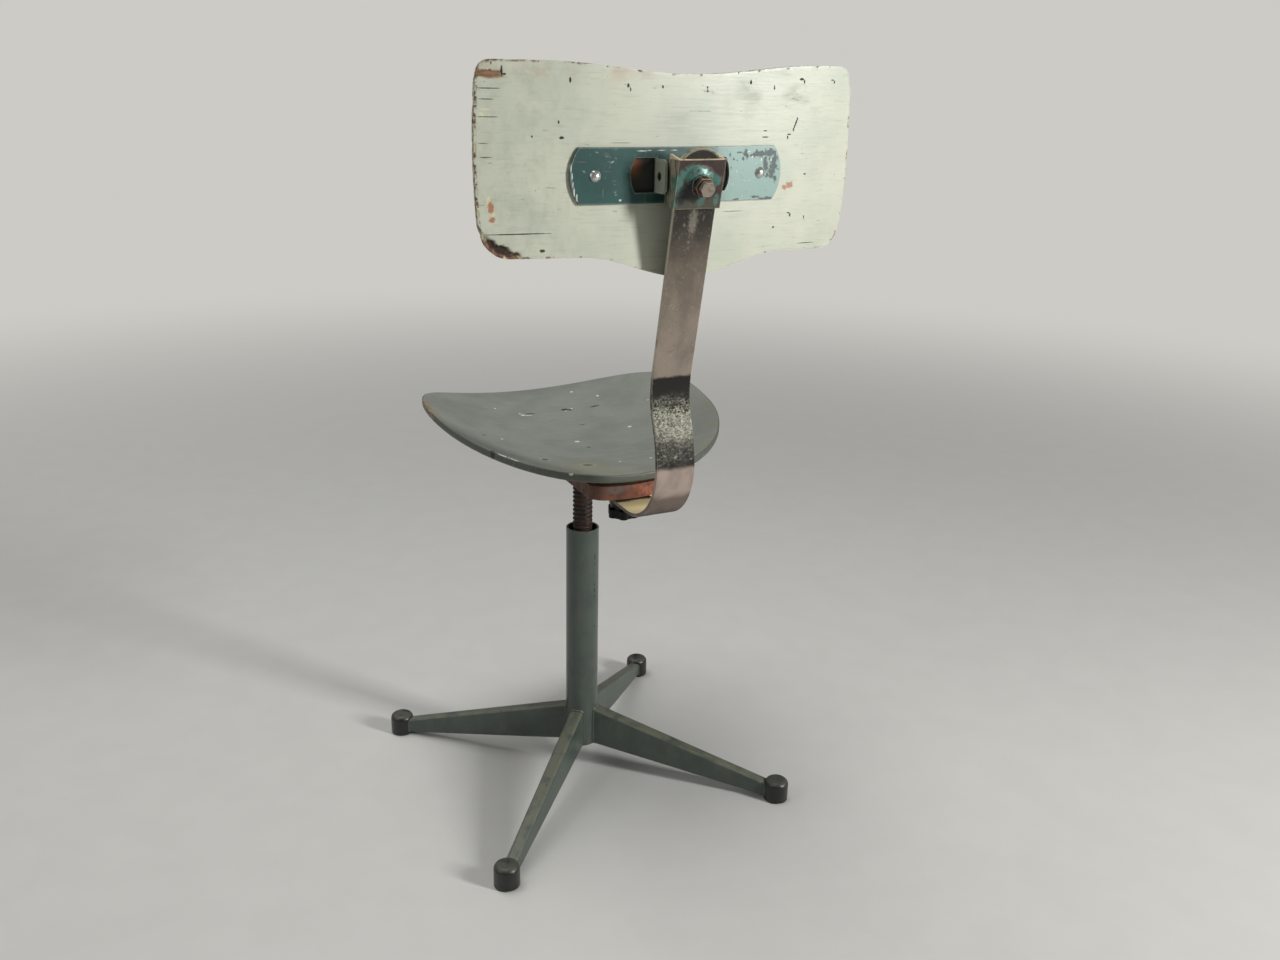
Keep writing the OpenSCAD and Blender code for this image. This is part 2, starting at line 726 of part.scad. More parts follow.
// The two washers between the lugs and the ears
module hinge_washers() {
    color("#4a4541") for (sx = [-1, 1])
        translate([sx * (cheek_out + 0.2 + washer_t / 2), pin_y, pin_z]) rotate([0, 90, 0])
            difference() {
                cylinder(d = 2 * pin_d, h = washer_t, center = true);
                cylinder(d = pin_d + 2 * run_gap, h = 2 * washer_t, center = true);
            }
}

// Puts its children at both rivets on the backrest's rear face, +Z pointing rearward
module at_rivets() {
    translate([0, shell_y - back_r, pin_z]) for (side = [-1, 1])
        rotate([0, 0, side * rivet_turn]) translate([0, back_r, 0]) rotate([-90, 0, 0]) children();
}

// The pivot plate: a flat middle and two wings that follow the backrest, with two windows
// whose metal forms the ears
module pivot_plate() {
    color("#3c7376") difference() {
        translate([0, plate_y, pin_z]) {
            intersection() {
                union() {
                    translate([-wing_x, -plate_t, -plate_h / 2]) cube([2 * wing_x, plate_t, plate_h]);
                    for (side = [0, 1]) mirror([side, 0, 0]) wing();
                }
                rotate([90, 0, 0]) linear_extrude(plate_l, center = true) plate_outline();
            }
            for (side = [0, 1]) mirror([side, 0, 0]) ear();
        }
        at_rivets() cylinder(d = rivet_d + 2 * run_gap, h = 4 * plate_t, center = true);
        translate([-2 * ear_out, pin_y, pin_z]) rotate([0, 90, 0])
            cylinder(d = pin_d + 2 * run_gap, h = 4 * ear_out);
    }
}

// A wing of the plate, turned about the line where it leaves the flat middle
module wing() {
    translate([wing_x, 0, 0]) rotate([0, 0, -wing_turn])
        translate([-plate_t, -plate_t, -plate_h / 2])
            cube([plate_l / 2, plate_t, plate_h]);
}

// Face of the pivot plate: round ends and a window outside each ear
module plate_outline() {
    difference() {
        intersection() {
            square([plate_l, plate_h], center = true);
            round_end(plate_l, plate_end_r);
            mirror([1, 0]) round_end(plate_l, plate_end_r);
        }
        for (side = [0, 1]) mirror([side, 0]) intersection() {
            translate([ear_in - bend_in, -window_h / 2]) square([window_l, window_h]);
            round_end(window_l, window_end_r);
        }
    }
}

// Everything to the left of a round end of radius r, for an outline of length l
module round_end(l, r) {
    translate([l / 2 - r, 0]) {
        circle(r = r);
        translate([-l, -l / 2]) square([l, l]);
    }
}

// One ear bent back from its window, with round corners
module ear() {
    half = window_h / 2;
    translate([ear_in - bend_in, bend_in, -half]) rotate([0, 0, -90])
        rotate_extrude(angle = 90) translate([bend_in, 0]) square([plate_t, window_h]);
    translate([ear_in, 0, 0]) rotate([90, 0, 90]) linear_extrude(plate_t)
        polygon(concat(
            [[bend_in, half], [bend_in, -half]],
            corner([bend_in, -half], [ear_l, -half], [ear_l, half], ear_r),
            corner([ear_l, -half], [ear_l, half], [bend_in, half], ear_r)));
}

// Outline of the backrest in its own plane, from the rivet line
function back_half_w(z) = back_w / 2 - side_bow * pow((z / back_up - 0.2), 2);
function swell(x, reach) = pow(cos(min(90, abs(x + curve_shift) * 90 / reach)), 2);
function back_top(x) = back_up - top_dip * swell(x, 0.375 * back_w);
function back_floor(x) = -back_down + bottom_skew * x / back_half_w(-back_down);
function back_bottom(x) = back_floor(x) - bottom_drop * swell(x, 0.28 * back_w);
function back_outline() =
    let (tr = [back_half_w(back_up), back_up],
         tl = [-tr[0], tr[1]],
         low_x = back_half_w(-back_down),
         br = [low_x, back_floor(low_x)],
         bl = [-low_x, back_floor(-low_x)],
         right = [for (k = [1:7]) let (z = -back_down + (back_up + back_down) * (0.14 + 0.74 * k / 8))
             [back_half_w(z), z]],
         left = [for (k = [7:-1:1]) let (z = -back_down + (back_up + back_down) * (0.14 + 0.74 * k / 8))
             [-back_half_w(z), z]],
         over = [for (k = [back_steps:-1:-back_steps]) let (x = 0.41 * back_w * k / back_steps)
             [x, back_top(x)]],
         under = [for (k = [-back_steps:back_steps]) let (x = 0.41 * back_w * k / back_steps)
             [x, back_bottom(x)]])
    concat(under, corner(bl, br, right[0], back_corner_down), right,
        corner(right[6], tr, tl, back_corner_up), over,
        corner(tr, tl, left[0], back_corner_up), left,
        corner(left[6], bl, br, back_corner_down));

// The moulded plywood backrest, hollow toward the sitter
module backrest_shell() {
    color("#b9c2b2") difference() {
        translate([0, shell_y - back_r, pin_z]) intersection() {
            cylinder(r = back_r, h = 4 * back_up, center = true, $fn = 256);
            rotate([90, 0, 0]) translate([0, 0, -back_r - past])
                linear_extrude(back_r) polygon(back_outline());
        }
        translate([0, shell_y - back_r, pin_z])
            cylinder(r = back_r - back_t, h = 6 * back_up, center = true, $fn = 256);
        at_rivets() cylinder(d = rivet_d + 2 * run_gap, h = 4 * back_t, center = true);
    }
}

// The two rivets, with a domed head behind the plate and in front of the backrest
module backrest_rivets() {
    front = -back_t - touch_gap;
    color("#c9cac4") at_rivets() {
        translate([0, 0, front]) cylinder(d = rivet_d, h = rivet_rear - front);
        translate([0, 0, rivet_rear]) rivet_head();
        translate([0, 0, front]) mirror([0, 0, 1]) rivet_head();
    }
}

// A domed head of a rivet, its flat side on the origin
module rivet_head() {
    intersection() {
        translate([0, 0, rivet_head_h - rivet_ball_r]) sphere(r = rivet_ball_r);
        cylinder(d = rivet_head_d, h = rivet_head_h);
    }
}

column_tube();
spindle_nut();
arm(0);  // arm_1
arm(1);  // arm_2
arm(2);  // arm_3
arm(3);  // arm_4
foot_cap(0);  // foot_cap_1
foot_cap(1);  // foot_cap_2
foot_cap(2);  // foot_cap_3
foot_cap(3);  // foot_cap_4
rubber_pad(0);  // rubber_pad_1
rubber_pad(1);  // rubber_pad_2
rubber_pad(2);  // rubber_pad_3
rubber_pad(3);  // rubber_pad_4
stop_washer();
spindle();
stop_bolt();
spindle_collar();
seat_pan();
bar_saddle();
clamp_stud();
seat_shell();
seat_inserts();
seat_spacers();
seat_bolts();
back_bar();
knob_washer();
clamp_knob();
clamp_box();
clamp_pad();
weld_nut();
clamp_screw();
hinge_pin();
hinge_washers();
pivot_plate();
backrest_shell();
backrest_rivets();
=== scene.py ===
"""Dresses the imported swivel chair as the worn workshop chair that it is.

Metres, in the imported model's frame: origin on the column axis at the floor, +Z up, the
chair's front towards -Y and its left towards +X. Sizes in the classes are millimetres.
"""
import logging
import math
from contextlib import contextmanager
from dataclasses import dataclass
from enum import Enum
from typing import Callable, Iterator, Sequence

import bpy
from mathutils import Matrix, Vector, kdtree, noise


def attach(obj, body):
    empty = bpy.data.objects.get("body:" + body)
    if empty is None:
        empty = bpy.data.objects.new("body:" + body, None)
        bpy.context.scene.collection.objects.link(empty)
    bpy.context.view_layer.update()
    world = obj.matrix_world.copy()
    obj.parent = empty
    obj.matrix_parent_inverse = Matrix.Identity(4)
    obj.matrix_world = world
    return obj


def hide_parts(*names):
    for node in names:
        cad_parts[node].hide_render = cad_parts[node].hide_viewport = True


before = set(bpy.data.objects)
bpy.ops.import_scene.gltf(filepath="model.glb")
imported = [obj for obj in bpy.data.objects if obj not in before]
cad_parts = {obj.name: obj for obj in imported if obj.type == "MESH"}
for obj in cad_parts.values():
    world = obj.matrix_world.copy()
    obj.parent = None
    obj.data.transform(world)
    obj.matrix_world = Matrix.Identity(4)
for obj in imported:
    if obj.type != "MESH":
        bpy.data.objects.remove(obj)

LOG = logging.getLogger("chair")
MM = 0.001
# Points closer than this, in metres, are one point
SAME_POINT = 1e-6
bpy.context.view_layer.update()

Socket = bpy.types.NodeSocket
Point = tuple[float, float, float]
Flat = tuple[float, float]


class Body(Enum):
    """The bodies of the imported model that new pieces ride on."""

    BASE = "base"
    SEAT = "seat"
    KNOB = "knob"
    BAR = "bar"
    CLAMP = "clamp"
    SCREW = "screw"
    BACKREST = "backrest"


class Made(Enum):
    """How a piece was made, which ends its name."""

    FOLDED = "folded"
    FORGED = "forged"
    HEADED = "headed"
    MILLED = "milled"
    MOULDED = "moulded"
    PAINTED = "painted"
    PRESSED = "pressed"
    PUNCHED = "punched"
    ROLLED = "rolled"
    SHEARED = "sheared"
    TURNED = "turned"


class Where(Enum):
    """How masks are put together: where all of them hold, or where any of them does."""

    ALL = "MULTIPLY"
    ANY = "MAXIMUM"


# Materials


def linear(colour: str) -> tuple[float, float, float, float]:
    """Turns an sRGB hex colour to the linear one that Blender works in.

    Args:
        colour: The colour as "#rrggbb".

    Returns:
        Red, green, blue and an alpha of 1.
    """
    shares = [int(colour[at:at + 2], 16) / 255 for at in (1, 3, 5)]
    red, green, blue = (c / 12.92 if c <= 0.04045 else ((c + 0.055) / 1.055) ** 2.4 for c in shares)
    return red, green, blue, 1.0


def add_node(
    tree: bpy.types.NodeTree,
    kind: str,
    settings: dict | None = None,
    links: dict | None = None,
) -> bpy.types.Node:
    """Adds a node with its settings and links.

    Args:
        tree: The node tree.
        kind: The node's type.
        settings: Values by the name or number of an input, or by the name of a property.
        links: Sockets that feed inputs, by the input's name or number.

    Returns:
        The node.
    """
    node = tree.nodes.new(kind)
    for key, value in (settings or {}).items():
        if isinstance(key, int) or key in node.inputs:
            node.inputs[key].default_value = value
        else:
            setattr(node, key, value)
    for key, source in (links or {}).items():
        tree.links.new(source, node.inputs[key])
    return node


@dataclass(frozen=True)
class Mark:
    """A spot of wear: its middle and its half sizes along X, Y and Z, in mm."""

    at: Point
    reach: Point


def upright(
    y: float, deep: float, rows: Sequence[tuple[float, float, float, float]], grown: float = 1.0
) -> list[Mark]:
    """Spots on an upright face.

    Args:
        y: Where the face stands, in mm.
        deep: Half the depth that the spots reach through, in mm.
        rows: For each spot its place to the side, its height and its half sizes in mm.
        grown: How many times larger the spots are than the rows say.

    Returns:
        The spots.
    """
    return [Mark((x, y, z), (grown * w, deep, grown * h)) for x, z, w, h in rows]


def lying(high: float, rows: Sequence[tuple[float, float, float, float, float]]) -> list[Mark]:
    """Spots on a lying face.

    Args:
        high: Half the height that the spots reach through, in mm.
        rows: For each spot its place and its half sizes along X and Y, in mm.

    Returns:
        The spots.
    """
    return [Mark((x, y, z), (w, d, high)) for x, y, z, w, d in rows]


class Recipe:
    """The node tree of one material, with patterns that are scaled in mm."""

    def __init__(self, name: str) -> None:
        """Starts a material that has a Principled shader and nothing else.

        Args:
            name: The material's name.
        """
        self.material = bpy.data.materials.new(name)
        self.material.use_nodes = True
        self.tree = self.material.node_tree
        self.tree.nodes.clear()
        self.place = self.node("ShaderNodeTexCoord").outputs["Object"]
        self.shader = self.node("ShaderNodeBsdfPrincipled")
        self.output = self.node(
            "ShaderNodeOutputMaterial", links={"Surface": self.shader.outputs[0]}
        )

    def node(
        self, kind: str, settings: dict | None = None, links: dict | None = None
    ) -> bpy.types.Node:
        """Adds a node to this material, as add_node says."""
        return add_node(self.tree, kind, settings, links)

    def grain(
        self,
        size: float,
        stretch: Point = (1, 1, 1),
        detail: float = 4.0,
        rough: float = 0.55,
        shift: float = 0.0,
        turn: float = 0.0,
    ) -> Socket:
        """Cloudy noise from 0 to 1.

        Args:
            size: Width of its clouds in mm.
            stretch: How much finer it is along each axis.
            detail: Octaves of finer noise.
            rough: Strength of the finer octaves.
            shift: Moves the pattern, so that two of one size differ.
            turn: Turns the pattern about X, in degrees, to follow the leaning bar.

        Returns:
            The noise's value.
        """
        at = self.place
        if turn:
            at = self.node(
                "ShaderNodeMapping", {"Rotation": (math.radians(turn), 0, 0)}, {"Vector": at}
            ).outputs[0]
        scale = tuple(s / (size * MM) for s in stretch)
        at = self.node(
            "ShaderNodeMapping", {"Scale": scale, "Location": (shift, shift, shift)}, {"Vector": at}
        ).outputs[0]
        return self.node(
            "ShaderNodeTexNoise",
            {"Scale": 1.0, "Detail": detail, "Roughness": rough},
            {"Vector": at},
        ).outputs[0]

    def patches(self, low: float, high: float, size: float, **kwargs: object) -> Socket:
        """Blotches with soft or hard borders: 0 where grain is below low, 1 above high.

        Args:
            low: Noise value where a blotch begins.
            high: Noise value where it is full.
            size: Width of the blotches in mm.
            **kwargs: The other arguments of grain.

        Returns:
            The mask.
        """
        return self.node(
            "ShaderNodeMapRange",
            {"interpolation_type": "SMOOTHSTEP", 1: low, 2: high},
            {0: self.grain(size, **kwargs)},
        ).outputs[0]

    def along(self, axis: int, low: float, high: float, blur: float = 0.0) -> Socket:
        """A mask that rises from 0 at low to 1 at high along an axis.

        Args:
            axis: 0, 1 or 2 for X, Y or Z.
            low: Place in mm where it leaves 0.
            high: Place in mm where it reaches 1; less than low for a mask that falls.
            blur: How far noise wanders its border, in mm.

        Returns:
            The mask.
        """
        wander_size, wander_kinds = 9.0, 7
        value = self.node("ShaderNodeSeparateXYZ", links={0: self.place}).outputs[axis]
        if blur:
            value = self.node(
                "ShaderNodeMath",
                {"operation": "MULTIPLY_ADD", 1: 2 * blur * MM},
                {0: self.grain(wander_size, shift=low % wander_kinds), 2: value},
            ).outputs[0]
            low, high = low + blur, high + blur
        rising = low < high
        ends = (low, high) if rising else (high, low)
        return self.node(
            "ShaderNodeMapRange",
            {
                "interpolation_type": "SMOOTHSTEP",
                1: ends[0] * MM,
                2: ends[1] * MM,
                3: 0.0 if rising else 1.0,
                4: 1.0 if rising else 0.0,
            },
            {0: value},
        ).outputs[0]

    def facing(self, axis: Point, low: float, high: float) -> Socket:
        """A mask of the faces that look along an axis.

        Args:
            axis: The direction.
            low: Cosine of the angle to it where the mask leaves 0.
            high: Cosine where it reaches 1.

        Returns:
            The mask.
        """
        normal = self.node("ShaderNodeNewGeometry").outputs["Normal"]
        cosine = self.node(
            "ShaderNodeVectorMath", {"operation": "DOT_PRODUCT", 1: axis}, {0: normal}
        ).outputs["Value"]
        return self.node(
            "ShaderNodeMapRange",
            {"interpolation_type": "SMOOTHSTEP", 1: low, 2: high},
            {0: cosine},
        ).outputs[0]

    def edges(self, reach: float, bite: float, size: float = 4.0, shift: float = 0.0) -> Socket:
        """A ragged mask along the edges of a piece, where handling wears its coat.

        Args:
            reach: Width of the worn strip in mm.
            bite: From 0, nothing worn, to 1, every edge bare.
            size: Width in mm of the single flakes.
            shift: Moves the pattern of flakes.

        Returns:
            The mask.
        """
        # Cosines between the surface and its rounded normal, on a flat face and on an edge
        flat, sharp = 0.995, 0.86
        # How much the flakes count beside the edge, and the sum where wear begins and is full
        flake_share, begins, full = 1.6, 2.0, 2.12
        smoothed = self.node("ShaderNodeBevel", {"samples": 4, "Radius": reach * MM}).outputs[0]
        normal = self.node("ShaderNodeNewGeometry").outputs["Normal"]
        same = self.node(
            "ShaderNodeVectorMath", {"operation": "DOT_PRODUCT"}, {0: smoothed, 1: normal}
        ).outputs["Value"]
        bend = self.node(
            "ShaderNodeMapRange", {1: flat, 2: sharp, 3: 0.0, 4: 1.0}, {0: same}
        ).outputs[0]
        flakes = self.grain(size, detail=5.0, rough=0.65, shift=shift)
        worn = self.node(
            "ShaderNodeMath", {"operation": "MULTIPLY_ADD", 1: flake_share}, {0: flakes, 2: bend}
        ).outputs[0]
        return self.node(
            "ShaderNodeMapRange",
            {"interpolation_type": "SMOOTHSTEP", 1: begins - bite, 2: full - bite},
            {0: worn},
        ).outputs[0]

    def box(self, low: Point, high: Point, soft: float = 2.0) -> Socket:
        """A mask that is 1 inside a box.

        Args:
            low: The box's lower corner in mm.
            high: Its upper corner in mm.
            soft: Width in mm of its border.

        Returns:
            The mask.
        """
        half = soft / 2
        sides = [self.along(axis, low[axis] - half, low[axis] + half) for axis in range(3)]
        sides += [self.along(axis, high[axis] + half, high[axis] - half) for axis in range(3)]
        return self.joined(sides)

    def beyond(self, centre: Point, low: float, high: float) -> Socket:
        """A mask that rises with the distance from a point.

        Args:
            centre: The point in mm.
            low: Distance in mm where the mask leaves 0.
            high: Distance where it reaches 1.

        Returns:
            The mask.
        """
        distance = self.node(
            "ShaderNodeVectorMath",
            {"operation": "DISTANCE", 1: [v * MM for v in centre]},
            {0: self.place},
        ).outputs["Value"]
        return self.node(
            "ShaderNodeMapRange",
            {"interpolation_type": "SMOOTHSTEP", 1: low * MM, 2: high * MM},
            {0: distance},
        ).outputs[0]

    def by_value(self, name: str, low: float, high: float) -> Socket:
        """A mask that follows a value stored on the piece, such as the distance from its rim.

        Args:
            name: The attribute that holds the value.
            low: Value where the mask leaves 0.
            high: Value where it reaches 1; less than low for a mask that falls.

        Returns:
            The mask.
        """
        value = self.node("ShaderNodeAttribute", {"attribute_name": name}).outputs["Fac"]
        return self.node(
            "ShaderNodeMapRange",
            {"interpolation_type": "SMOOTHSTEP", 1: low, 2: high},
            {0: value},
        ).outputs[0]

    def marks(
        self, spots: Sequence[Mark], ragged: float = 0.35, size: float = 2.5, soft: float = 0.1
    ) -> Socket:
        """A mask of single spots with ragged borders.

        Args:
            spots: The spots.
            ragged: How far noise moves their borders, as a share of their size.
            size: Width in mm of the bites in their borders.
            soft: Half the width of the borders, as a share of their size.

        Returns:
            The mask.
        """
        wander = self.grain(size, detail=5.0, rough=0.65)
        nearest = None
        for spot in spots:
            away = self.node(
                "ShaderNodeVectorMath",
                {"operation": "SUBTRACT", 1: [v * MM for v in spot.at]},
                {0: self.place},
            ).outputs[0]
            shares = self.node(
                "ShaderNodeVectorMath",
                {"operation": "MULTIPLY", 1: [1 / (v * MM) for v in spot.reach]},
                {0: away},
            ).outputs[0]
            length = self.node(
                "ShaderNodeVectorMath", {"operation": "LENGTH"}, {0: shares}
            ).outputs["Value"]
            nearest = length if nearest is None else self.node(
                "ShaderNodeMath", {"operation": "MINIMUM"}, {0: nearest, 1: length}
            ).outputs[0]
        torn = self.node(
            "ShaderNodeMath", {"operation": "MULTIPLY_ADD", 1: 2 * ragged}, {0: wander, 2: nearest}
        ).outputs[0]
        return self.node(
            "ShaderNodeMapRange",
            {
                "interpolation_type": "SMOOTHSTEP",
                1: 1 - soft + ragged,
                2: 1 + soft + ragged,
                3: 1.0,
                4: 0.0,
            },
            {0: torn},
        ).outputs[0]

    def joined(self, masks: Sequence[Socket], rule: Where = Where.ALL) -> Socket:
        """Masks put together one after another.

        Args:
            masks: The masks.
            rule: Whether all of them have to hold, or any.

        Returns:
            The mask.
        """
        whole = masks[0]
        for mask in masks[1:]:
            whole = self.node(
                "ShaderNodeMath", {"operation": rule.value}, {0: whole, 1: mask}
            ).outputs[0]
        return whole

    def layers(self, ground: str, coats: Sequence[tuple[Socket, str, float]]) -> Socket:
        """Colours laid over each other, as paint, dirt and rust are.

        Args:
            ground: The lowest colour.
            coats: For each coat its mask, its colour and its strength from 0 to 1.

        Returns:
            The colour.
        """
        colour: Socket | None = None
        for mask, coat, strength in coats:
            share = self.node(
                "ShaderNodeMath", {"operation": "MULTIPLY", 1: strength}, {0: mask}
            ).outputs[0]
            mix = self.node(
                "ShaderNodeMix",
                {"data_type": "RGBA", 6: linear(ground), 7: linear(coat)},
                {0: share},
            )
            if colour is not None:
                self.tree.links.new(colour, mix.inputs[6])
            colour = mix.outputs[2]
        return colour

    def relief(self, heights: Sequence[tuple[Socket, float]]) -> None:
        """Raises or sinks the surface where masks say so.

        Args:
            heights: For each mask, its height in mm, negative for a hollow.
        """
        total: Socket | None = None
        for mask, height in heights:
            total = self.node(
                "ShaderNodeMath",
                {"operation": "MULTIPLY_ADD", 1: height * MM, 2: 0.0},
                {0: mask} if total is None else {0: mask, 2: total},
            ).outputs[0]
        bump = self.node(
            "ShaderNodeBump", {"Strength": 1.0, "Distance": 1.0}, {"Height": total}
        ).outputs[0]
        self.tree.links.new(bump, self.shader.inputs["Normal"])

    def gloss(self, mask: Socket, low: float, high: float) -> None:
        """Roughness that goes from low where a mask is 0 to high where it is 1."""
        value = self.node("ShaderNodeMapRange", {1: 0.0, 2: 1.0, 3: low, 4: high}, {0: mask})
        self.tree.links.new(value.outputs[0], self.shader.inputs["Roughness"])

    def colour(self, source: Socket) -> None:
        """Feeds the shader's colour."""
        self.tree.links.new(source, self.shader.inputs["Base Color"])

    def constant(self, **values: float) -> None:
        """Sets sockets of the shader that are the same all over, spaces written as _."""
        for name, value in values.items():
            self.shader.inputs[name.replace("_", " ")].default_value = value


@dataclass(frozen=True)
class Finish:
    """A surface as a maker names it, with the record's slot that it belongs to."""

    name: str
    slot: str

    def material(self) -> bpy.types.Material:
        """Makes the material on first use and hands out the same one later.

        Returns:
            The material.
        """
        made = bpy.data.materials.get(self.name)
        if made is None:
            recipe = Recipe(self.name)
            self.mix(recipe)
            made = recipe.material
        return made

    def mix(self, recipe: Recipe) -> None:
        """Lays the colours and relief; each finish has its own way.

        Args:
            recipe: The material to lay them on.
        """
        raise NotImplementedError


@dataclass(frozen=True)
class BaseEnamel(Finish):
    """Air-dried alkyd enamel, brushed over steel: a satin coat with faint sags, dust that has
    stuck to what faces up, and small dark chips down to the scaled steel."""

    name: str = "alkyd_enamel_grey_green"
    slot: str = "base_enamel"
    coat: str = "#464f48"
    cloud: str = "#3a443e"
    dust: str = "#6b6c5b"
    rub: str = "#8a8c7c"
    scale: str = "#1a1b19"

    def mix(self, recipe: Recipe) -> None:
        """Brushes the coat, then its dust, rubbed rims and chips.

        Args:
            recipe: The material to lay them on.
        """
        clouds = recipe.patches(0.38, 0.66, 42.0, detail=3.0)
        settled = recipe.joined([
            recipe.facing((0, 0, 1), 0.25, 0.85), recipe.patches(0.25, 0.6, 16.0, shift=3.1)
        ])
        drawn = recipe.patches(0.48, 0.78, 12.0, stretch=(1, 1, 0.4), detail=4.0)
        chipped = recipe.joined([
            recipe.patches(0.69, 0.715, 3.4, detail=2.5, shift=1.7),
            recipe.patches(0.5, 0.56, 38.0, shift=5.2),
        ])
        edge = recipe.edges(1.4, 0.28, 3.0)
        rim_rub = recipe.edges(1.8, 0.55, 5.0, shift=4.0)
        # A row of chips runs down one side of the column
        row = [
            (352, 1.6), (368, 0.9), (301, 1.3), (297, 2.0), (289, 1.2), (262, 2.2), (254, 2.8),
            (246, 1.8), (205, 1.3),
        ]
        column_chips = recipe.marks(
            [Mark((-8.5, 18.0, z), (1.1, 2.5, r)) for z, r in row], ragged=0.5, size=1.6
        )
        recipe.colour(recipe.layers(self.coat, [
            (clouds, self.cloud, 0.75),
            (drawn, self.dust, 0.2),
            (settled, self.dust, 0.85),
            (rim_rub, self.rub, 0.35),
            (edge, self.scale, 0.7),
            (chipped, self.scale, 0.9),
            (column_chips, self.scale, 0.95),
        ]))
        recipe.gloss(recipe.joined([settled, chipped], Where.ANY), 0.33, 0.58)
        recipe.relief([
            (recipe.grain(5.0, detail=2.0), 0.09), (chipped, -0.18), (column_chips, -0.25),
            (edge, -0.1),
        ])
        recipe.constant(Coat_Weight=0.15, Coat_Roughness=0.3)


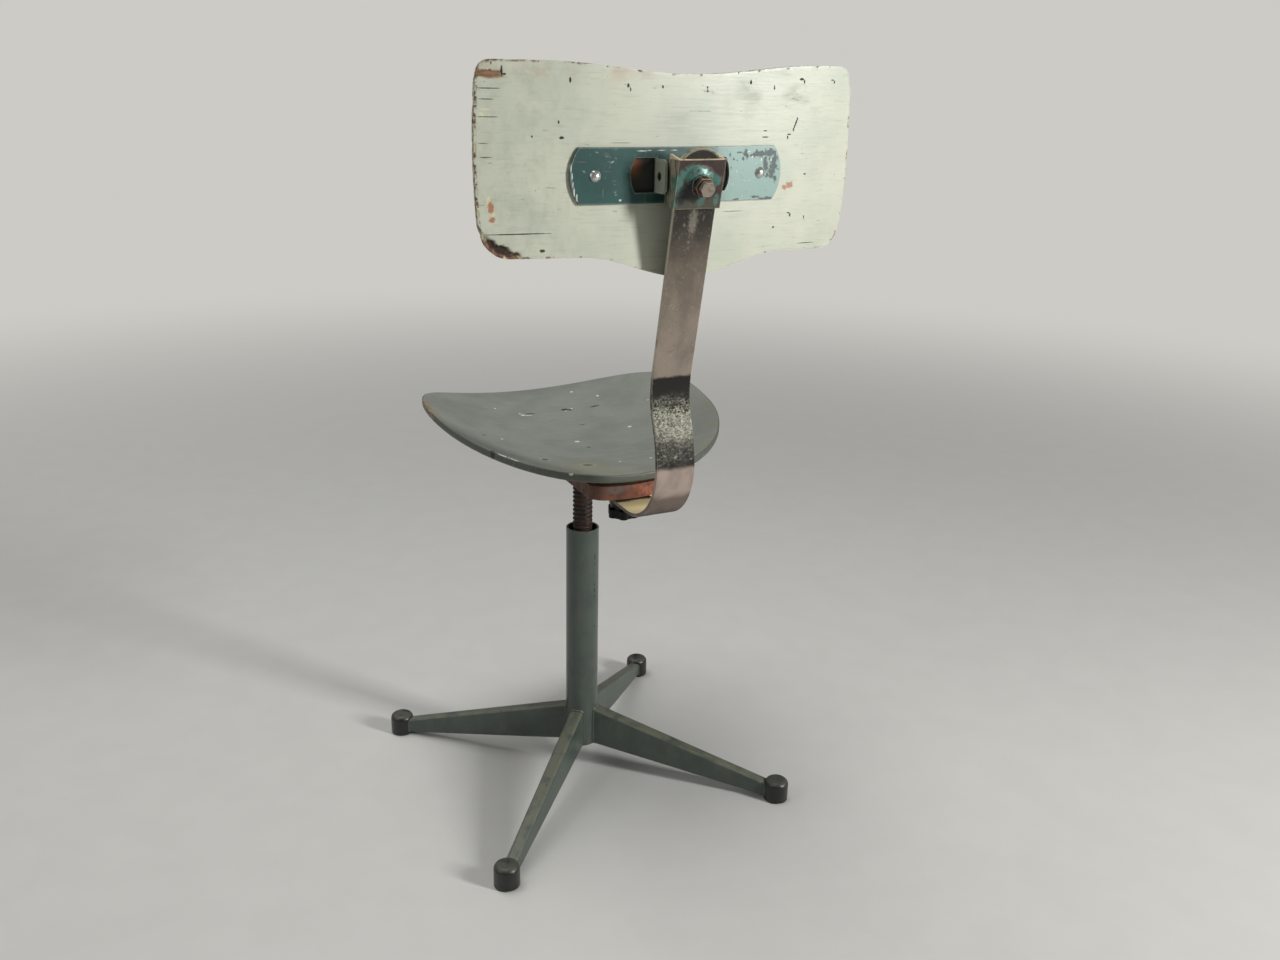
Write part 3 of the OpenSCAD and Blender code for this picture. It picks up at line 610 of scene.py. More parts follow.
@dataclass(frozen=True)
class SeatPaint(Finish):
    """Brushed oil paint on moulded plywood: a dull grey-green, rubbed paler in the dish,
    darker on the rim, with small chips to the pale undercoat and dents that hold dirt."""

    name: str = "oil_paint_on_plywood_grey"
    slot: str = "seat_paint"
    coat: str = "#84877e"
    far: str = "#787a74"
    rim: str = "#4f544b"
    olive: str = "#7f7b62"
    olive_pale: str = "#9b9a7e"
    plug: str = "#4f4f3d"
    undercoat: str = "#d6d9cb"
    wood: str = "#9a8260"
    dirt: str = "#2a2b25"

    def mix(self, recipe: Recipe) -> None:
        """Brushes the coat, then its stains, chips, dents and bared rim.

        Args:
            recipe: The material to lay them on.
        """
        near_rim = recipe.by_value("rim", 2.4, 0.6)
        strip = recipe.by_value("rim", 30.0, 2.0)
        clouds = recipe.patches(0.35, 0.7, 55.0, detail=3.0)
        # The veneer's grain runs across the seat and shows faintly through the paint
        veneer = recipe.patches(0.35, 0.75, 2.6, stretch=(0.05, 1, 1), detail=3.0)
        stain = recipe.joined([
            strip, recipe.along(1, -30.0, 30.0), recipe.patches(0.42, 0.62, 15.0, shift=2.0)
        ])
        pale = recipe.marks(lying(4, [
            (-51.8, -158.8, 458.2, 2.0, 2.2), (-75.1, -127.1, 458.7, 1.7, 2.3),
            (66.3, -124.3, 457.0, 1.3, 1.5), (-69.4, -17.2, 448.0, 2.4, 2.4),
            (7.7, 0.4, 443.1, 3.1, 2.6), (97.4, -11.9, 453.2, 1.5, 1.9),
            (-0.8, 102.8, 448.6, 1.2, 1.9), (-36.2, 108.8, 450.3, 1.7, 1.5),
            (-20.1, -102.2, 450.6, 1.1, 1.5), (-29.7, -106.3, 451.5, 1.1, 1.6),
            (37.7, -101.2, 451.5, 2.8, 2.0), (40.4, -106.0, 452.2, 1.7, 1.3),
            (31.0, -99.4, 451.0, 5.0, 0.8), (75.6, 141.2, 456.9, 3.6, 1.9),
            (26.0, 157.0, 452.3, 2.0, 1.5), (153.3, 77.4, 477.0, 1.4, 2.2),
            (146.8, 85.5, 474.4, 0.9, 1.3), (-98.0, 62.0, 458.0, 1.2, 1.2),
            (-120.0, -70.0, 466.0, 1.6, 1.2),
        ]), ragged=0.45, size=1.6, soft=0.16)
        # A knock has bared the undercoat in a thin line along the rim
        knocked = recipe.joined([
            recipe.marks([Mark((127.5, 95.0, 467.0), (10, 15, 9))], ragged=0.5, size=5.0),
            recipe.by_value("rim", 1.9, 1.1),
            recipe.facing((0, 0, 1), 0.45, 0.75),
            recipe.patches(0.42, 0.52, 3.2, detail=5.0, shift=43.0),
        ])
        dents = recipe.marks(lying(14, [
            (-20.4, -106.4, 451.1, 4.6, 3.2), (-26.5, -103.6, 451.0, 2.8, 2.0),
            (-58.9, -99.9, 453.3, 6.0, 1.7), (26.5, -104.8, 451.2, 6.0, 1.3),
            (4.4, 27.1, 443.5, 2.1, 2.0), (117.5, -16.8, 458.9, 1.9, 2.1),
            (140.1, 78.9, 470.8, 2.2, 3.4), (78.5, 75.5, 452.6, 4.0, 3.6),
            (-22.4, -53.9, 445.8, 5.0, 0.7),
        ]), ragged=0.3, size=2.2, soft=0.22)
        # Two of the four bolts have let the paint over them sink and yellow
        plug = recipe.marks([Mark((39.9, 105.5, 450.3), (6.2, 4.8, 6))], ragged=0.25, soft=0.3)
        ring = recipe.marks([
            Mark((78.5, 75.5, 452.6), (7.4, 6.4, 6)), Mark((39.9, 105.5, 450.3), (10.5, 8.4, 6)),
        ], ragged=0.2, soft=0.25)
        halo = recipe.marks(
            [Mark((44.0, 112.0, 450.8), (36, 26, 9))], ragged=0.3, size=12.0, soft=0.7
        )
        specks = recipe.patches(0.735, 0.75, 2.6, detail=2.0, shift=8.0)
        worn = recipe.joined([near_rim, recipe.patches(0.6, 0.66, 5.5, detail=5.0, shift=6.0)])
        tip = recipe.joined([
            recipe.marks(
                [Mark((171.0, -66.0, 488.0), (16, 38, 16))], ragged=0.4, size=7.0, soft=0.3
            ),
            recipe.by_value("rim", 12.0, 7.0),
        ])
        tip_wood = recipe.joined([tip, recipe.patches(0.44, 0.54, 4.0, detail=5.0, shift=1.0)])
        tip_dirt = recipe.joined([tip, recipe.patches(0.56, 0.62, 3.0, detail=4.0, shift=2.5)])
        recipe.colour(recipe.layers(self.coat, [
            (clouds, self.far, 0.9),
            (veneer, self.rim, 0.16),
            (halo, self.olive, 0.4),
            (stain, self.olive, 0.6),
            (near_rim, self.rim, 0.9),
            (worn, self.olive, 0.4),
            (tip_wood, self.wood, 0.7),
            (tip_dirt, self.dirt, 0.7),
            (ring, self.olive_pale, 0.5),
            (plug, self.plug, 0.85),
            (specks, self.dirt, 0.6),
            (dents, self.dirt, 0.9),
            (pale, self.undercoat, 0.85),
            (knocked, self.undercoat, 0.8),
        ]))
        recipe.gloss(recipe.grain(14.0, detail=4.0), 0.38, 0.62)
        recipe.relief([
            (recipe.grain(3.2, stretch=(0.12, 1, 1), detail=2.0), 0.1),
            (dents, -0.5), (pale, -0.15), (worn, -0.15),
        ])


@dataclass(frozen=True)
class BackrestPaint(Finish):
    """Old oil paint on moulded birch plywood: pale green gone cream, dirt rubbed along the grain,
    cracks that follow it, rusty nail holes, and lost veneer at the corners and edges."""

    name: str = "oil_paint_on_plywood_pale_green"
    slot: str = "backrest_paint"
    coat: str = "#c8cab7"
    mint: str = "#b9bfac"
    grime: str = "#8c8e7c"
    wood: str = "#8d6547"
    dark_wood: str = "#4c3426"
    cream: str = "#d9d2ac"
    hole: str = "#17130f"
    rust: str = "#a8653c"

    def mix(self, recipe: Recipe) -> None:
        """Brushes the coat, then its dirt, cracks, nail holes and bare plies.

        Args:
            recipe: The material to lay them on.
        """
        bare, hollow, depth = (
            recipe.node("ShaderNodeAttribute", {"attribute_name": name}).outputs["Fac"]
            for name in ("bare", "hollow", "depth")
        )
        clouds = recipe.patches(0.36, 0.68, 48.0, detail=4.0)
        fibres = recipe.patches(0.5, 0.78, 2.4, stretch=(0.06, 1, 1), detail=4.0, rough=0.65)
        smear = recipe.joined([
            recipe.patches(0.5, 0.72, 17.0, stretch=(0.5, 1, 1), detail=5.0, shift=4.0),
            recipe.patches(0.4, 0.62, 75.0, shift=9.0),
        ])
        left_smear = recipe.joined([
            recipe.patches(
                0.44, 0.7, 13.0, stretch=(1.2, 1, 0.8), detail=6.0, rough=0.65, shift=14.0
            ),
            recipe.along(0, 70.0, 140.0, blur=12.0),
        ])
        scratches = recipe.joined([
            recipe.patches(0.67, 0.7, 3.0, stretch=(0.16, 1, 1.0), detail=3.0, shift=11.0),
            recipe.patches(0.5, 0.6, 34.0, shift=13.0),
        ])
        specks = recipe.patches(0.745, 0.76, 2.4, detail=2.0, shift=17.0)
        holes = recipe.marks(upright(221, 7, [
            (110.2, 853.9, 1.0, 2.4), (54.8, 849.7, 1.5, 2.2), (52.6, 846.4, 0.8, 2.2),
            (20.3, 849.1, 1.2, 1.8), (-26.1, 849.1, 1.1, 1.7), (-26.5, 846.0, 0.7, 1.8),
            (-73.7, 854.1, 1.2, 2.2), (-133.2, 857.5, 2.4, 1.1), (-136.6, 855.4, 0.9, 1.8),
            (-174.0, 855.1, 1.0, 1.8), (-171.5, 857.0, 1.9, 0.7), (118.3, 804.6, 2.2, 1.2),
            (145.7, 805.7, 0.9, 0.9), (136.9, 704.9, 2.6, 1.4), (-143.8, 768.2, 1.2, 0.9),
            (-128.2, 728.9, 0.9, 2.0), (-126.0, 731.0, 1.5, 0.6), (-108.5, 717.6, 1.2, 1.0),
            (-146.0, 726.0, 0.6, 1.8), (172.0, 860.5, 1.2, 6.2), (169.8, 857.8, 2.2, 1.0),
            (181.2, 866.8, 0.9, 2.4), (121.0, 818.0, 0.8, 1.4), (-101.0, 849.5, 0.7, 2.2),
        ]), ragged=0.4, size=1.4)
        cracks = recipe.marks(upright(219, 8, [
            (185.0, 846.0, 12.0, 0.45), (187.0, 837.0, 9.0, 0.4), (186.0, 822.2, 10.0, 0.4),
            (163.0, 720.6, 33.0, 0.5), (190.0, 800.0, 6.0, 0.35), (188.0, 788.0, 7.0, 0.35),
            (-92.8, 809.9, 2.4, 0.5), (-93.2, 804.1, 4.0, 0.55), (-121.5, 806.3, 2.6, 0.6),
            (-120.0, 803.6, 0.9, 1.8), (60.0, 800.0, 14.0, 0.3), (-20.0, 828.0, 18.0, 0.3),
            (130.0, 690.0, 16.0, 0.35), (-60.0, 735.0, 15.0, 0.3), (90.0, 868.0, 12.0, 0.35),
            (-150.0, 700.0, 10.0, 0.35),
        ]), ragged=0.45, size=4.0)
        diagonal = recipe.marks([
            Mark((-126.6 - 1.0 * k, 221, 811.0 + 2.4 * k), (0.8, 7, 1.7)) for k in range(5)
        ], ragged=0.6)
        rusty = recipe.marks([
            Mark((-125.4, 221, 758.0), (4.2, 8, 3.0)), Mark((-119.5, 221, 756.0), (3.0, 8, 2.4)),
            Mark((183.4, 215, 744.4), (2.8, 8, 4.6)), Mark((182.4, 215, 733.5), (2.8, 8, 2.4)),
            Mark((-192.0, 213, 709.0), (4.0, 8, 1.8)), Mark((-189.0, 213, 703.5), (3.0, 8, 1.4)),
        ], ragged=1.2, size=2.6, soft=0.3)
        flaked = recipe.marks([
            Mark((185.5, 215, 750.0), (1.8, 8, 5.0)), Mark((181.5, 215, 739.0), (1.4, 8, 3.6)),
            Mark((187.0, 216, 828.5), (5.0, 8, 0.8)), Mark((190.5, 216, 824.6), (2.2, 8, 1.6)),
            Mark((183.0, 216, 822.5), (2.4, 8, 0.7)),
        ], ragged=0.6, size=2.2)
        near_top = recipe.joined([
            recipe.along(2, 846.0, 862.0, blur=6.0), recipe.along(0, -20.0, 60.0),
            recipe.patches(0.42, 0.66, 26.0, shift=21.0),
        ])
        edge = recipe.by_value("rim", 2.6, 0.6)
        left = recipe.along(0, 120.0, 178.0)
        flakes = recipe.patches(0.47, 0.55, 4.5, detail=5.0, rough=0.65, shift=23.0)
        few = recipe.patches(0.57, 0.63, 8.0, detail=5.0, shift=25.0)
        left_flakes = recipe.joined([left, flakes])
        edge_wear = recipe.joined([edge, recipe.joined([left_flakes, few], Where.ANY)])
        # Plies show as stripes where the rim is bare; two of them make one turn of the pattern
        ply_thickness = 1.6
        turns = recipe.node(
            "ShaderNodeMath", {"operation": "MULTIPLY", 1: 1 / (2 * ply_thickness)}, {0: depth}
        ).outputs[0]
        ply = recipe.node(
            "ShaderNodeMath", {"operation": "PINGPONG", 1: 0.5}, {0: turns}
        ).outputs[0]
        stripes = recipe.node(
            "ShaderNodeMapRange", {"interpolation_type": "SMOOTHSTEP", 1: 0.2, 2: 0.3}, {0: ply}
        ).outputs[0]
        # Painted shade behind the plate's windows, with painted light in the left one's upper
        # corner
        window_shade = recipe.joined([
            recipe.box((-54, 200, 754), (54, 232, 788)), recipe.facing((0, 1, 0), 0.3, 0.6)
        ])
        window_light = recipe.joined([
            window_shade, recipe.along(0, 36.0, 50.0), recipe.along(2, 764.0, 782.0)
        ])
        naked = recipe.joined([bare, edge_wear], Where.ANY)
        dark_plies = recipe.joined([naked, stripes])
        streaked = recipe.joined([
            naked, recipe.patches(0.46, 0.6, 2.0, stretch=(0.15, 1, 1), detail=3.0)
        ])
        cream = recipe.joined([
            naked, recipe.patches(0.52, 0.58, 7.0, detail=4.0, shift=31.0),
            recipe.along(0, 130.0, 160.0), recipe.along(2, 852.0, 846.0),
        ])
        left_edge = recipe.joined([edge_wear, left])
        black = recipe.joined([holes, cracks, diagonal, hollow], Where.ANY)
        recipe.colour(recipe.layers(self.coat, [
            (clouds, self.mint, 0.8),
            (fibres, self.grime, 0.3),
            (smear, self.grime, 0.1),
            (left_smear, self.grime, 0.22),
            (near_top, self.rust, 0.26),
            (scratches, self.grime, 0.75),
            (specks, self.dark_wood, 0.75),
            (flaked, self.cream, 0.7),
            (naked, self.wood, 0.95),
            (dark_plies, self.dark_wood, 0.55),
            (streaked, self.dark_wood, 0.5),
            (left_edge, self.dark_wood, 0.6),
            (cream, self.cream, 0.8),
            (rusty, self.rust, 0.85),
            (black, self.hole, 0.92),
            (window_shade, self.hole, 0.96),
            (window_light, self.rust, 0.75),
        ]))
        recipe.gloss(recipe.joined([naked, black, window_shade, smear], Where.ANY), 0.4, 0.8)
        recipe.relief([
            (recipe.grain(2.2, stretch=(0.07, 1, 1), detail=2.0), 0.12),
            (holes, -0.9), (cracks, -0.7), (naked, -0.3), (scratches, -0.08),
        ])


@dataclass(frozen=True)
class TealEnamel(Finish):
    """Stoving enamel on pressed sheet steel: a thin teal coat with a painted sheen that pales it
    towards the chair's right, knocked off its edges to grey scaled steel with a pale line of
    primer."""

    name: str = "stoving_enamel_teal"
    slot: str = "teal_enamel"
    coat: str = "#2b534d"
    deep: str = "#1f3f3e"
    # The colour of the painted sheen
    sheen: str = "#94b2a8"
    primer: str = "#d5d6cb"
    faded: str = "#9aa08c"
    steel: str = "#4c504e"
    rust: str = "#5c3827"

    def mix(self, recipe: Recipe) -> None:
        """Bakes the coat, paints a sheen on it and knocks it off the edges.

        Args:
            recipe: The material to lay them on.
        """
        clouds = recipe.patches(0.35, 0.65, 24.0, detail=3.0)
        # Painted sheen: the coat is painted paler towards the chair's right
        sheen_side = recipe.along(0, -8.0, -60.0, blur=6.0)
        worn = recipe.edges(1.5, 0.72, 4.0)
        halo = recipe.edges(2.2, 0.98, 5.0, shift=3.0)
        knocked = recipe.marks(upright(226, 9, [
            (-70.1, 788.9, 2.4, 3.0), (-67.5, 785.0, 1.2, 1.6), (-86.5, 789.0, 7.0, 2.6),
            (-79.5, 787.2, 3.0, 1.4), (-97.0, 789.4, 5.0, 3.2), (-93.6, 779.5, 2.2, 6.5),
            (-98.5, 784.0, 3.0, 1.4), (-103.0, 778.0, 3.4, 9.0), (-100.5, 770.5, 3.4, 3.6),
            (-96.0, 768.5, 2.6, 1.8), (-105.2, 765.0, 1.6, 3.4), (-56.5, 784.4, 0.8, 1.3),
            (-60.5, 783.2, 0.6, 0.9), (-63.5, 790.2, 2.2, 0.9), (-52.4, 789.0, 0.7, 1.6),
            (-53.8, 776.4, 0.5, 1.0), (-82.3, 748.4, 3.4, 0.8), (-60.0, 746.6, 3.2, 0.7),
            (-99.0, 746.5, 3.5, 1.3), (-91.0, 746.3, 3.0, 0.7), (75.1, 790.0, 2.0, 1.9),
            (72.4, 788.6, 1.3, 0.8), (100.4, 783.9, 4.6, 0.6), (74.9, 775.3, 3.2, 0.5),
            (79.0, 756.0, 0.5, 3.0), (98.0, 746.9, 3.0, 0.5), (48.0, 746.4, 6.0, 0.5),
            (61.0, 766.0, 0.5, 1.4),
        ], grown=1.15), ragged=1.9, size=3.4, soft=0.3)
        pale = recipe.marks(upright(226, 9, [
            (40.8, 793.0, 4.6, 0.5), (33.4, 793.4, 2.2, 0.4), (21.4, 793.4, 4.0, 0.4),
            (62.0, 749.0, 1.3, 0.9), (110.4, 780.0, 0.6, 5.0), (107.4, 757.5, 0.6, 3.6),
            (104.8, 751.6, 0.6, 3.4), (109.4, 771.0, 0.6, 3.2), (108.6, 764.0, 0.5, 2.6),
            (-78.0, 786.2, 1.3, 1.0), (-88.5, 783.5, 0.8, 1.4), (-99.8, 783.0, 0.9, 2.0),
            (-74.0, 791.0, 1.4, 0.6), (8.0, 793.4, 3.0, 0.4),
        ]), ragged=1.2, size=1.6, soft=0.3)
        specks = recipe.patches(0.7, 0.72, 2.4, detail=3.0, shift=5.0)
        behind = recipe.facing((0, -1, 0), 0.2, 0.7)
        ears = recipe.along(1, 229.5, 232.0)
        bare = recipe.joined([worn, knocked], Where.ANY)
        recipe.colour(recipe.layers(self.coat, [
            (clouds, self.deep, 0.5),
            (sheen_side, self.sheen, 0.82),
            (behind, self.rust, 0.6),
            (ears, self.faded, 0.85),
            (halo, self.primer, 0.55),
            (specks, self.steel, 0.7),
            (bare, self.steel, 0.88),
            (recipe.joined([worn, recipe.patches(0.5, 0.6, 5.0, shift=9.0)]), self.rust, 0.6),
            (pale, self.primer, 0.9),
        ]))
        recipe.gloss(bare, 0.34, 0.62)
        recipe.relief([
            (recipe.grain(4.0, detail=2.0), 0.06), (bare, -0.16), (specks, -0.12), (pale, -0.1)
        ])
        recipe.constant(Coat_Weight=0.2, Coat_Roughness=0.25)


@dataclass(frozen=True)
class RustPrimer(Finish):
    """Red-lead primer on pressed steel, gone rusty: a flat orange-brown with darker streaks and one
    patch of the grey-blue top coat left."""

    name: str = "red_lead_primer_on_steel"
    slot: str = "rust_enamel"
    coat: str = "#724432"
    dark: str = "#4d3228"
    bright: str = "#b8643a"
    topcoat: str = "#5a6664"
    flank: str = "#4c3329"
    # The colour of the painted shade on the walls away from the key lamp
    pale: str = "#a5745a"

    def mix(self, recipe: Recipe) -> None:
        """Lays the primer, then its streaks and the rest of the top coat.

        Args:
            recipe: The material to lay them on.
        """
        clouds = recipe.patches(0.4, 0.64, 11.0, detail=5.0)
        streaks = recipe.patches(0.48, 0.7, 6.0, stretch=(1, 1, 0.3), detail=4.0, shift=2.0)
        bright = recipe.joined([
            recipe.patches(0.44, 0.6, 9.0, detail=4.0, shift=6.0), recipe.along(0, 16.0, -14.0)
        ])
        left_over = recipe.marks([
            Mark((17.0, 130.0, 429.0), (14.0, 9, 5.5)), Mark((40.0, 60.0, 429.0), (9, 30, 4.0)),
            Mark((-30.0, -112.0, 428.0), (20, 9, 5.0)), Mark((2.0, 130.0, 431.5), (9.0, 9, 2.4)),
        ], ragged=0.5, size=6.0, soft=0.5)
        blots = recipe.marks([
            Mark((21.5, 131.0, 429.0), (2.2, 9, 1.0)), Mark((-7.0, 131.0, 426.0), (1.2, 9, 1.6)),
        ], ragged=0.4, soft=0.3)
        # Painted shade: the walls that look away from the key lamp are painted darker and browner
        flank = recipe.facing((0.9, 0.42, 0.0), 0.6, 0.9)
        rubbed = recipe.edges(1.4, 0.5, 3.0)
        recipe.colour(recipe.layers(self.coat, [
            (clouds, self.dark, 0.75),
            (bright, self.bright, 0.5),
            (streaks, self.dark, 0.45),
            (left_over, self.topcoat, 0.85),
            (flank, self.flank, 0.6),
            (blots, self.dark, 0.8),
            (rubbed, self.pale, 0.5),
        ]))
        recipe.gloss(clouds, 0.52, 0.75)
        recipe.relief([(recipe.grain(1.6, detail=4.0), 0.12), (clouds, 0.1), (left_over, 0.1)])


@dataclass(frozen=True)
class ClampRust(Finish):
    """Hot-rolled sheet that has rusted brown under its lost teal enamel, which is left only round
    the dome and in the corners that nothing rubs."""

    name: str = "rusted_sheet_steel_with_old_enamel"
    slot: str = "rusted_steel"
    rust: str = "#3a2925"
    dark: str = "#262120"
    bright: str = "#7a4a38"
    enamel: str = "#49766b"
    shade: str = "#1d2429"
    olive: str = "#555a48"
    worn: str = "#b3a78f"
    cream: str = "#d9c7a6"

    def mix(self, recipe: Recipe) -> None:
        """Lays the rust, then the rest of the enamel and the painted shade below it.

        Args:
            recipe: The material to lay them on.
        """
        clouds = recipe.patches(0.42, 0.66, 9.0, detail=5.0)
        bright = recipe.patches(0.56, 0.68, 5.0, detail=5.0, shift=4.0)
        round_dome = recipe.marks(upright(266, 12, [
            (22.0, 768.0, 5.5, 6.5), (16.0, 775.5, 6.0, 6.0), (8.0, 778.5, 7.0, 5.5),
            (0.0, 776.5, 6.5, 5.5), (-8.0, 772.5, 6.0, 5.0), (-16.5, 768.5, 5.0, 5.0),
            (21.0, 761.5, 5.0, 7.0), (5.5, 770.5, 8.0, 4.5), (-2.1, 750.5, 4.2, 5.5),
            (24.0, 748.5, 4.0, 4.0), (-19.0, 750.5, 2.6, 6.0), (11.0, 772.0, 6.0, 6.0),
        ]), ragged=0.55, size=6.0, soft=0.42)
        below = recipe.along(2, 757.0, 749.0, blur=5.0)
        # Painted shade lies thick under the dome, down to the lower corner
        shaded = recipe.marks([
            Mark((9.5, 266, 764.0), (4.5, 12, 6.0)), Mark((15.0, 265, 757.0), (7.5, 12, 5.5)),
            Mark((19.5, 264, 752.0), (5.5, 12, 5.0)), Mark((5.0, 265, 755.0), (6.0, 12, 4.0)),
        ], ragged=0.45, size=6.0, soft=0.5)
        flakes = recipe.patches(0.3, 0.52, 5.0, detail=5.0, rough=0.65, shift=7.0)
        kept = recipe.joined([round_dome, flakes])
        cheek = recipe.facing((1, 0, 0), 0.5, 0.9)
        drawn = recipe.joined([
            cheek, recipe.patches(0.4, 0.6, 2.6, stretch=(1, 1, 0.2), detail=4.0, shift=5.0)
        ])
        rear = recipe.facing((0, 0.98, -0.2), 0.7, 0.95)
        top_line = recipe.joined([
            recipe.along(2, 786.9, 788.0), recipe.patches(0.3, 0.45, 3.0, detail=4.0, shift=12.0)
        ])
        rubbed = recipe.edges(1.3, 0.9, 4.0)
        recipe.colour(recipe.layers(self.rust, [
            (clouds, self.dark, 0.7),
            (bright, self.bright, 0.6),
            (recipe.joined([rear, below]), self.olive, 0.5),
            (cheek, self.olive, 0.75),
            (drawn, self.worn, 0.6),
            (kept, self.enamel, 0.85),
            (recipe.joined([rear, shaded]), self.shade, 0.85),
            (rubbed, self.worn, 0.6),
            (top_line, self.cream, 0.85),
        ]))
        recipe.gloss(kept, 0.6, 0.32)
        recipe.relief([(recipe.grain(1.4, detail=4.0), 0.1), (kept, 0.14), (rubbed, -0.06)])
        recipe.constant(Metallic=0.25)


@dataclass(frozen=True)
class SpringSteel(Finish):
    """Tempered strip steel with a brown patina: a dark scale where it was heated near the clamp,
    polished brown where it is handled, black and scratched where it bends round the seat."""

    name: str = "tempered_strip_steel_patina"
    slot: str = "spring_steel"
    patina: str = "#7c7063"
    scale: str = "#232320"
    rubbed: str = "#93877a"
    black: str = "#0d0d0d"
    streak: str = "#2f2e2b"
    scuffed: str = "#bfbfaa"
    low: str = "#a6958a"
    foot: str = "#4a3f37"
    cream: str = "#e0cf9f"
    bright: str = "#bdb6a4"
    border: str = "#9c9883"
    lean: float = 11.9

    def mix(self, recipe: Recipe) -> None:
        """Lays the patina, then the scale, scuffs and dirt up the strip.

        Args:
            recipe: The material to lay them on.
        """
        top = recipe.along(2, 655.0, 745.0, blur=14.0)
        lower_mid = recipe.along(2, 690.0, 600.0, blur=10.0)
        below = recipe.along(2, 488.0, 478.0, blur=5.0)
        bottom = recipe.along(2, 455.0, 445.0, blur=4.0)
        band = recipe.joined([
            recipe.along(2, 576.5, 573.0, blur=3.0), recipe.along(2, 526.0, 542.0, blur=8.0)
        ])
        torn = recipe.joined([
            recipe.patches(0.44, 0.58, 2.2, stretch=(0.8, 1, 1), detail=6.0, rough=0.8, shift=3.0),
            recipe.patches(0.32, 0.5, 9.0, detail=4.0, shift=5.0),
        ])
        scuffs = recipe.joined([
            recipe.along(2, 560.0, 536.0, blur=8.0), recipe.along(2, 486.0, 496.0, blur=6.0), torn
        ])
        # Where the seat's rim has rubbed longest the scratches run together
        worn = recipe.joined([
            recipe.along(2, 547.0, 536.0, blur=8.0), recipe.along(2, 506.0, 518.0, blur=10.0),
            recipe.patches(0.5, 0.58, 2.6, stretch=(0.8, 1, 1), detail=6.0, rough=0.75, shift=41.0),
        ])
        scuff_ground = recipe.joined([
            recipe.along(2, 550.0, 544.0, blur=6.0), recipe.along(2, 480.0, 486.0, blur=4.0)
        ])
        lower_dark = recipe.joined([
            recipe.along(2, 518.0, 502.0, blur=9.0), recipe.along(2, 481.0, 486.0, blur=3.0),
            recipe.patches(0.36, 0.5, 3.4, stretch=(0.5, 1, 1), detail=5.0, rough=0.7, shift=8.0),
        ])
        lines = recipe.joined([
            recipe.patches(
                0.6, 0.68, 1.6, stretch=(1, 1, 0.1), detail=2.0, turn=-self.lean, shift=2.0
            ),
            recipe.along(2, 575.0, 590.0, blur=6.0),
        ])
        clouds = recipe.patches(0.38, 0.66, 26.0, stretch=(1, 1, 0.5), detail=4.0, shift=6.0)
        # The streak that the clamp's screw has rubbed, below where the clamp stands now
        rub = recipe.marks([
            Mark((0.4, 259.5, 728.5), (4.2, 9, 13.5)), Mark((2.4, 257.0, 711.5), (1.5, 9, 1.4)),
            Mark((2.6, 256.0, 706.0), (1.2, 9, 1.1)), Mark((9.0, 257.0, 728.0), (1.2, 9, 1.5)),
        ], ragged=1.3, size=2.0, soft=0.5)
        inside = recipe.facing((0, -0.7, 0.7), 0.1, 0.45)
        inner = recipe.joined([
            inside, recipe.along(2, 452.0, 442.0, blur=4.0),
            recipe.along(1, 140.0, 146.0, blur=4.0),
        ])
        # Painted shadow where the strip comes out from under the pan
        under = recipe.joined([inside, recipe.along(1, 148.0, 142.0, blur=4.0)])
        # The left flank has been scraped bright above the seat
        flank = recipe.joined([
            recipe.facing((1, 0, 0), 0.6, 0.9), recipe.along(2, 545.0, 600.0, blur=20.0),
            recipe.patches(0.25, 0.45, 9.0, stretch=(1, 1, 0.3), detail=4.0, shift=33.0),
        ])
        # Darker on the faces that look back and down, along the bend's foot
        foot = recipe.joined([
            recipe.along(2, 430.0, 421.0, blur=4.0), recipe.facing((0, 0.8, -0.6), 0.2, 0.6),
            recipe.patches(0.3, 0.55, 7.0, stretch=(0.4, 1, 1), detail=5.0, shift=27.0),
        ])
        edge = recipe.edges(1.1, 0.86, 7.0)
        # The round end was ground after the strip was cut, and that border has stayed pale
        border = recipe.joined([
            recipe.beyond((0, 262.4, 774.3), 22.4, 23.6), recipe.along(2, 777.0, 781.0),
            recipe.patches(0.3, 0.5, 4.0, detail=4.0, shift=19.0),
        ])
        speck = recipe.patches(0.72, 0.74, 2.2, detail=2.0, shift=15.0)
        recipe.colour(recipe.layers(self.patina, [
            (lower_mid, self.rubbed, 0.7),
            (top, self.scale, 0.95),
            (below, self.low, 1.0),
            (scuff_ground, self.streak, 0.85),
            (band, self.black, 0.95),
            (scuffs, self.scuffed, 0.85),
            (worn, self.scuffed, 0.5),
            (lower_dark, self.black, 0.75),
            (bottom, self.foot, 0.7),
            (clouds, self.scale, 0.28),
            (lines, self.bright, 0.16),
            (rub, self.bright, 0.3),
            (speck, self.black, 0.6),
            (inner, self.cream, 0.85),
            (under, self.black, 0.9),
            (flank, self.bright, 0.85),
            (foot, self.foot, 0.85),
            (edge, self.bright, 0.7),
            (border, self.border, 0.7),
        ]))
        recipe.gloss(recipe.joined([scuffs, inner, clouds, band, foot], Where.ANY), 0.42, 0.72)
        recipe.relief([
            (recipe.grain(1.5, detail=3.0), 0.04), (scuffs, -0.08), (lower_dark, 0.06)
        ])
        recipe.constant(Metallic=0.15, Specular_IOR_Level=0.25)


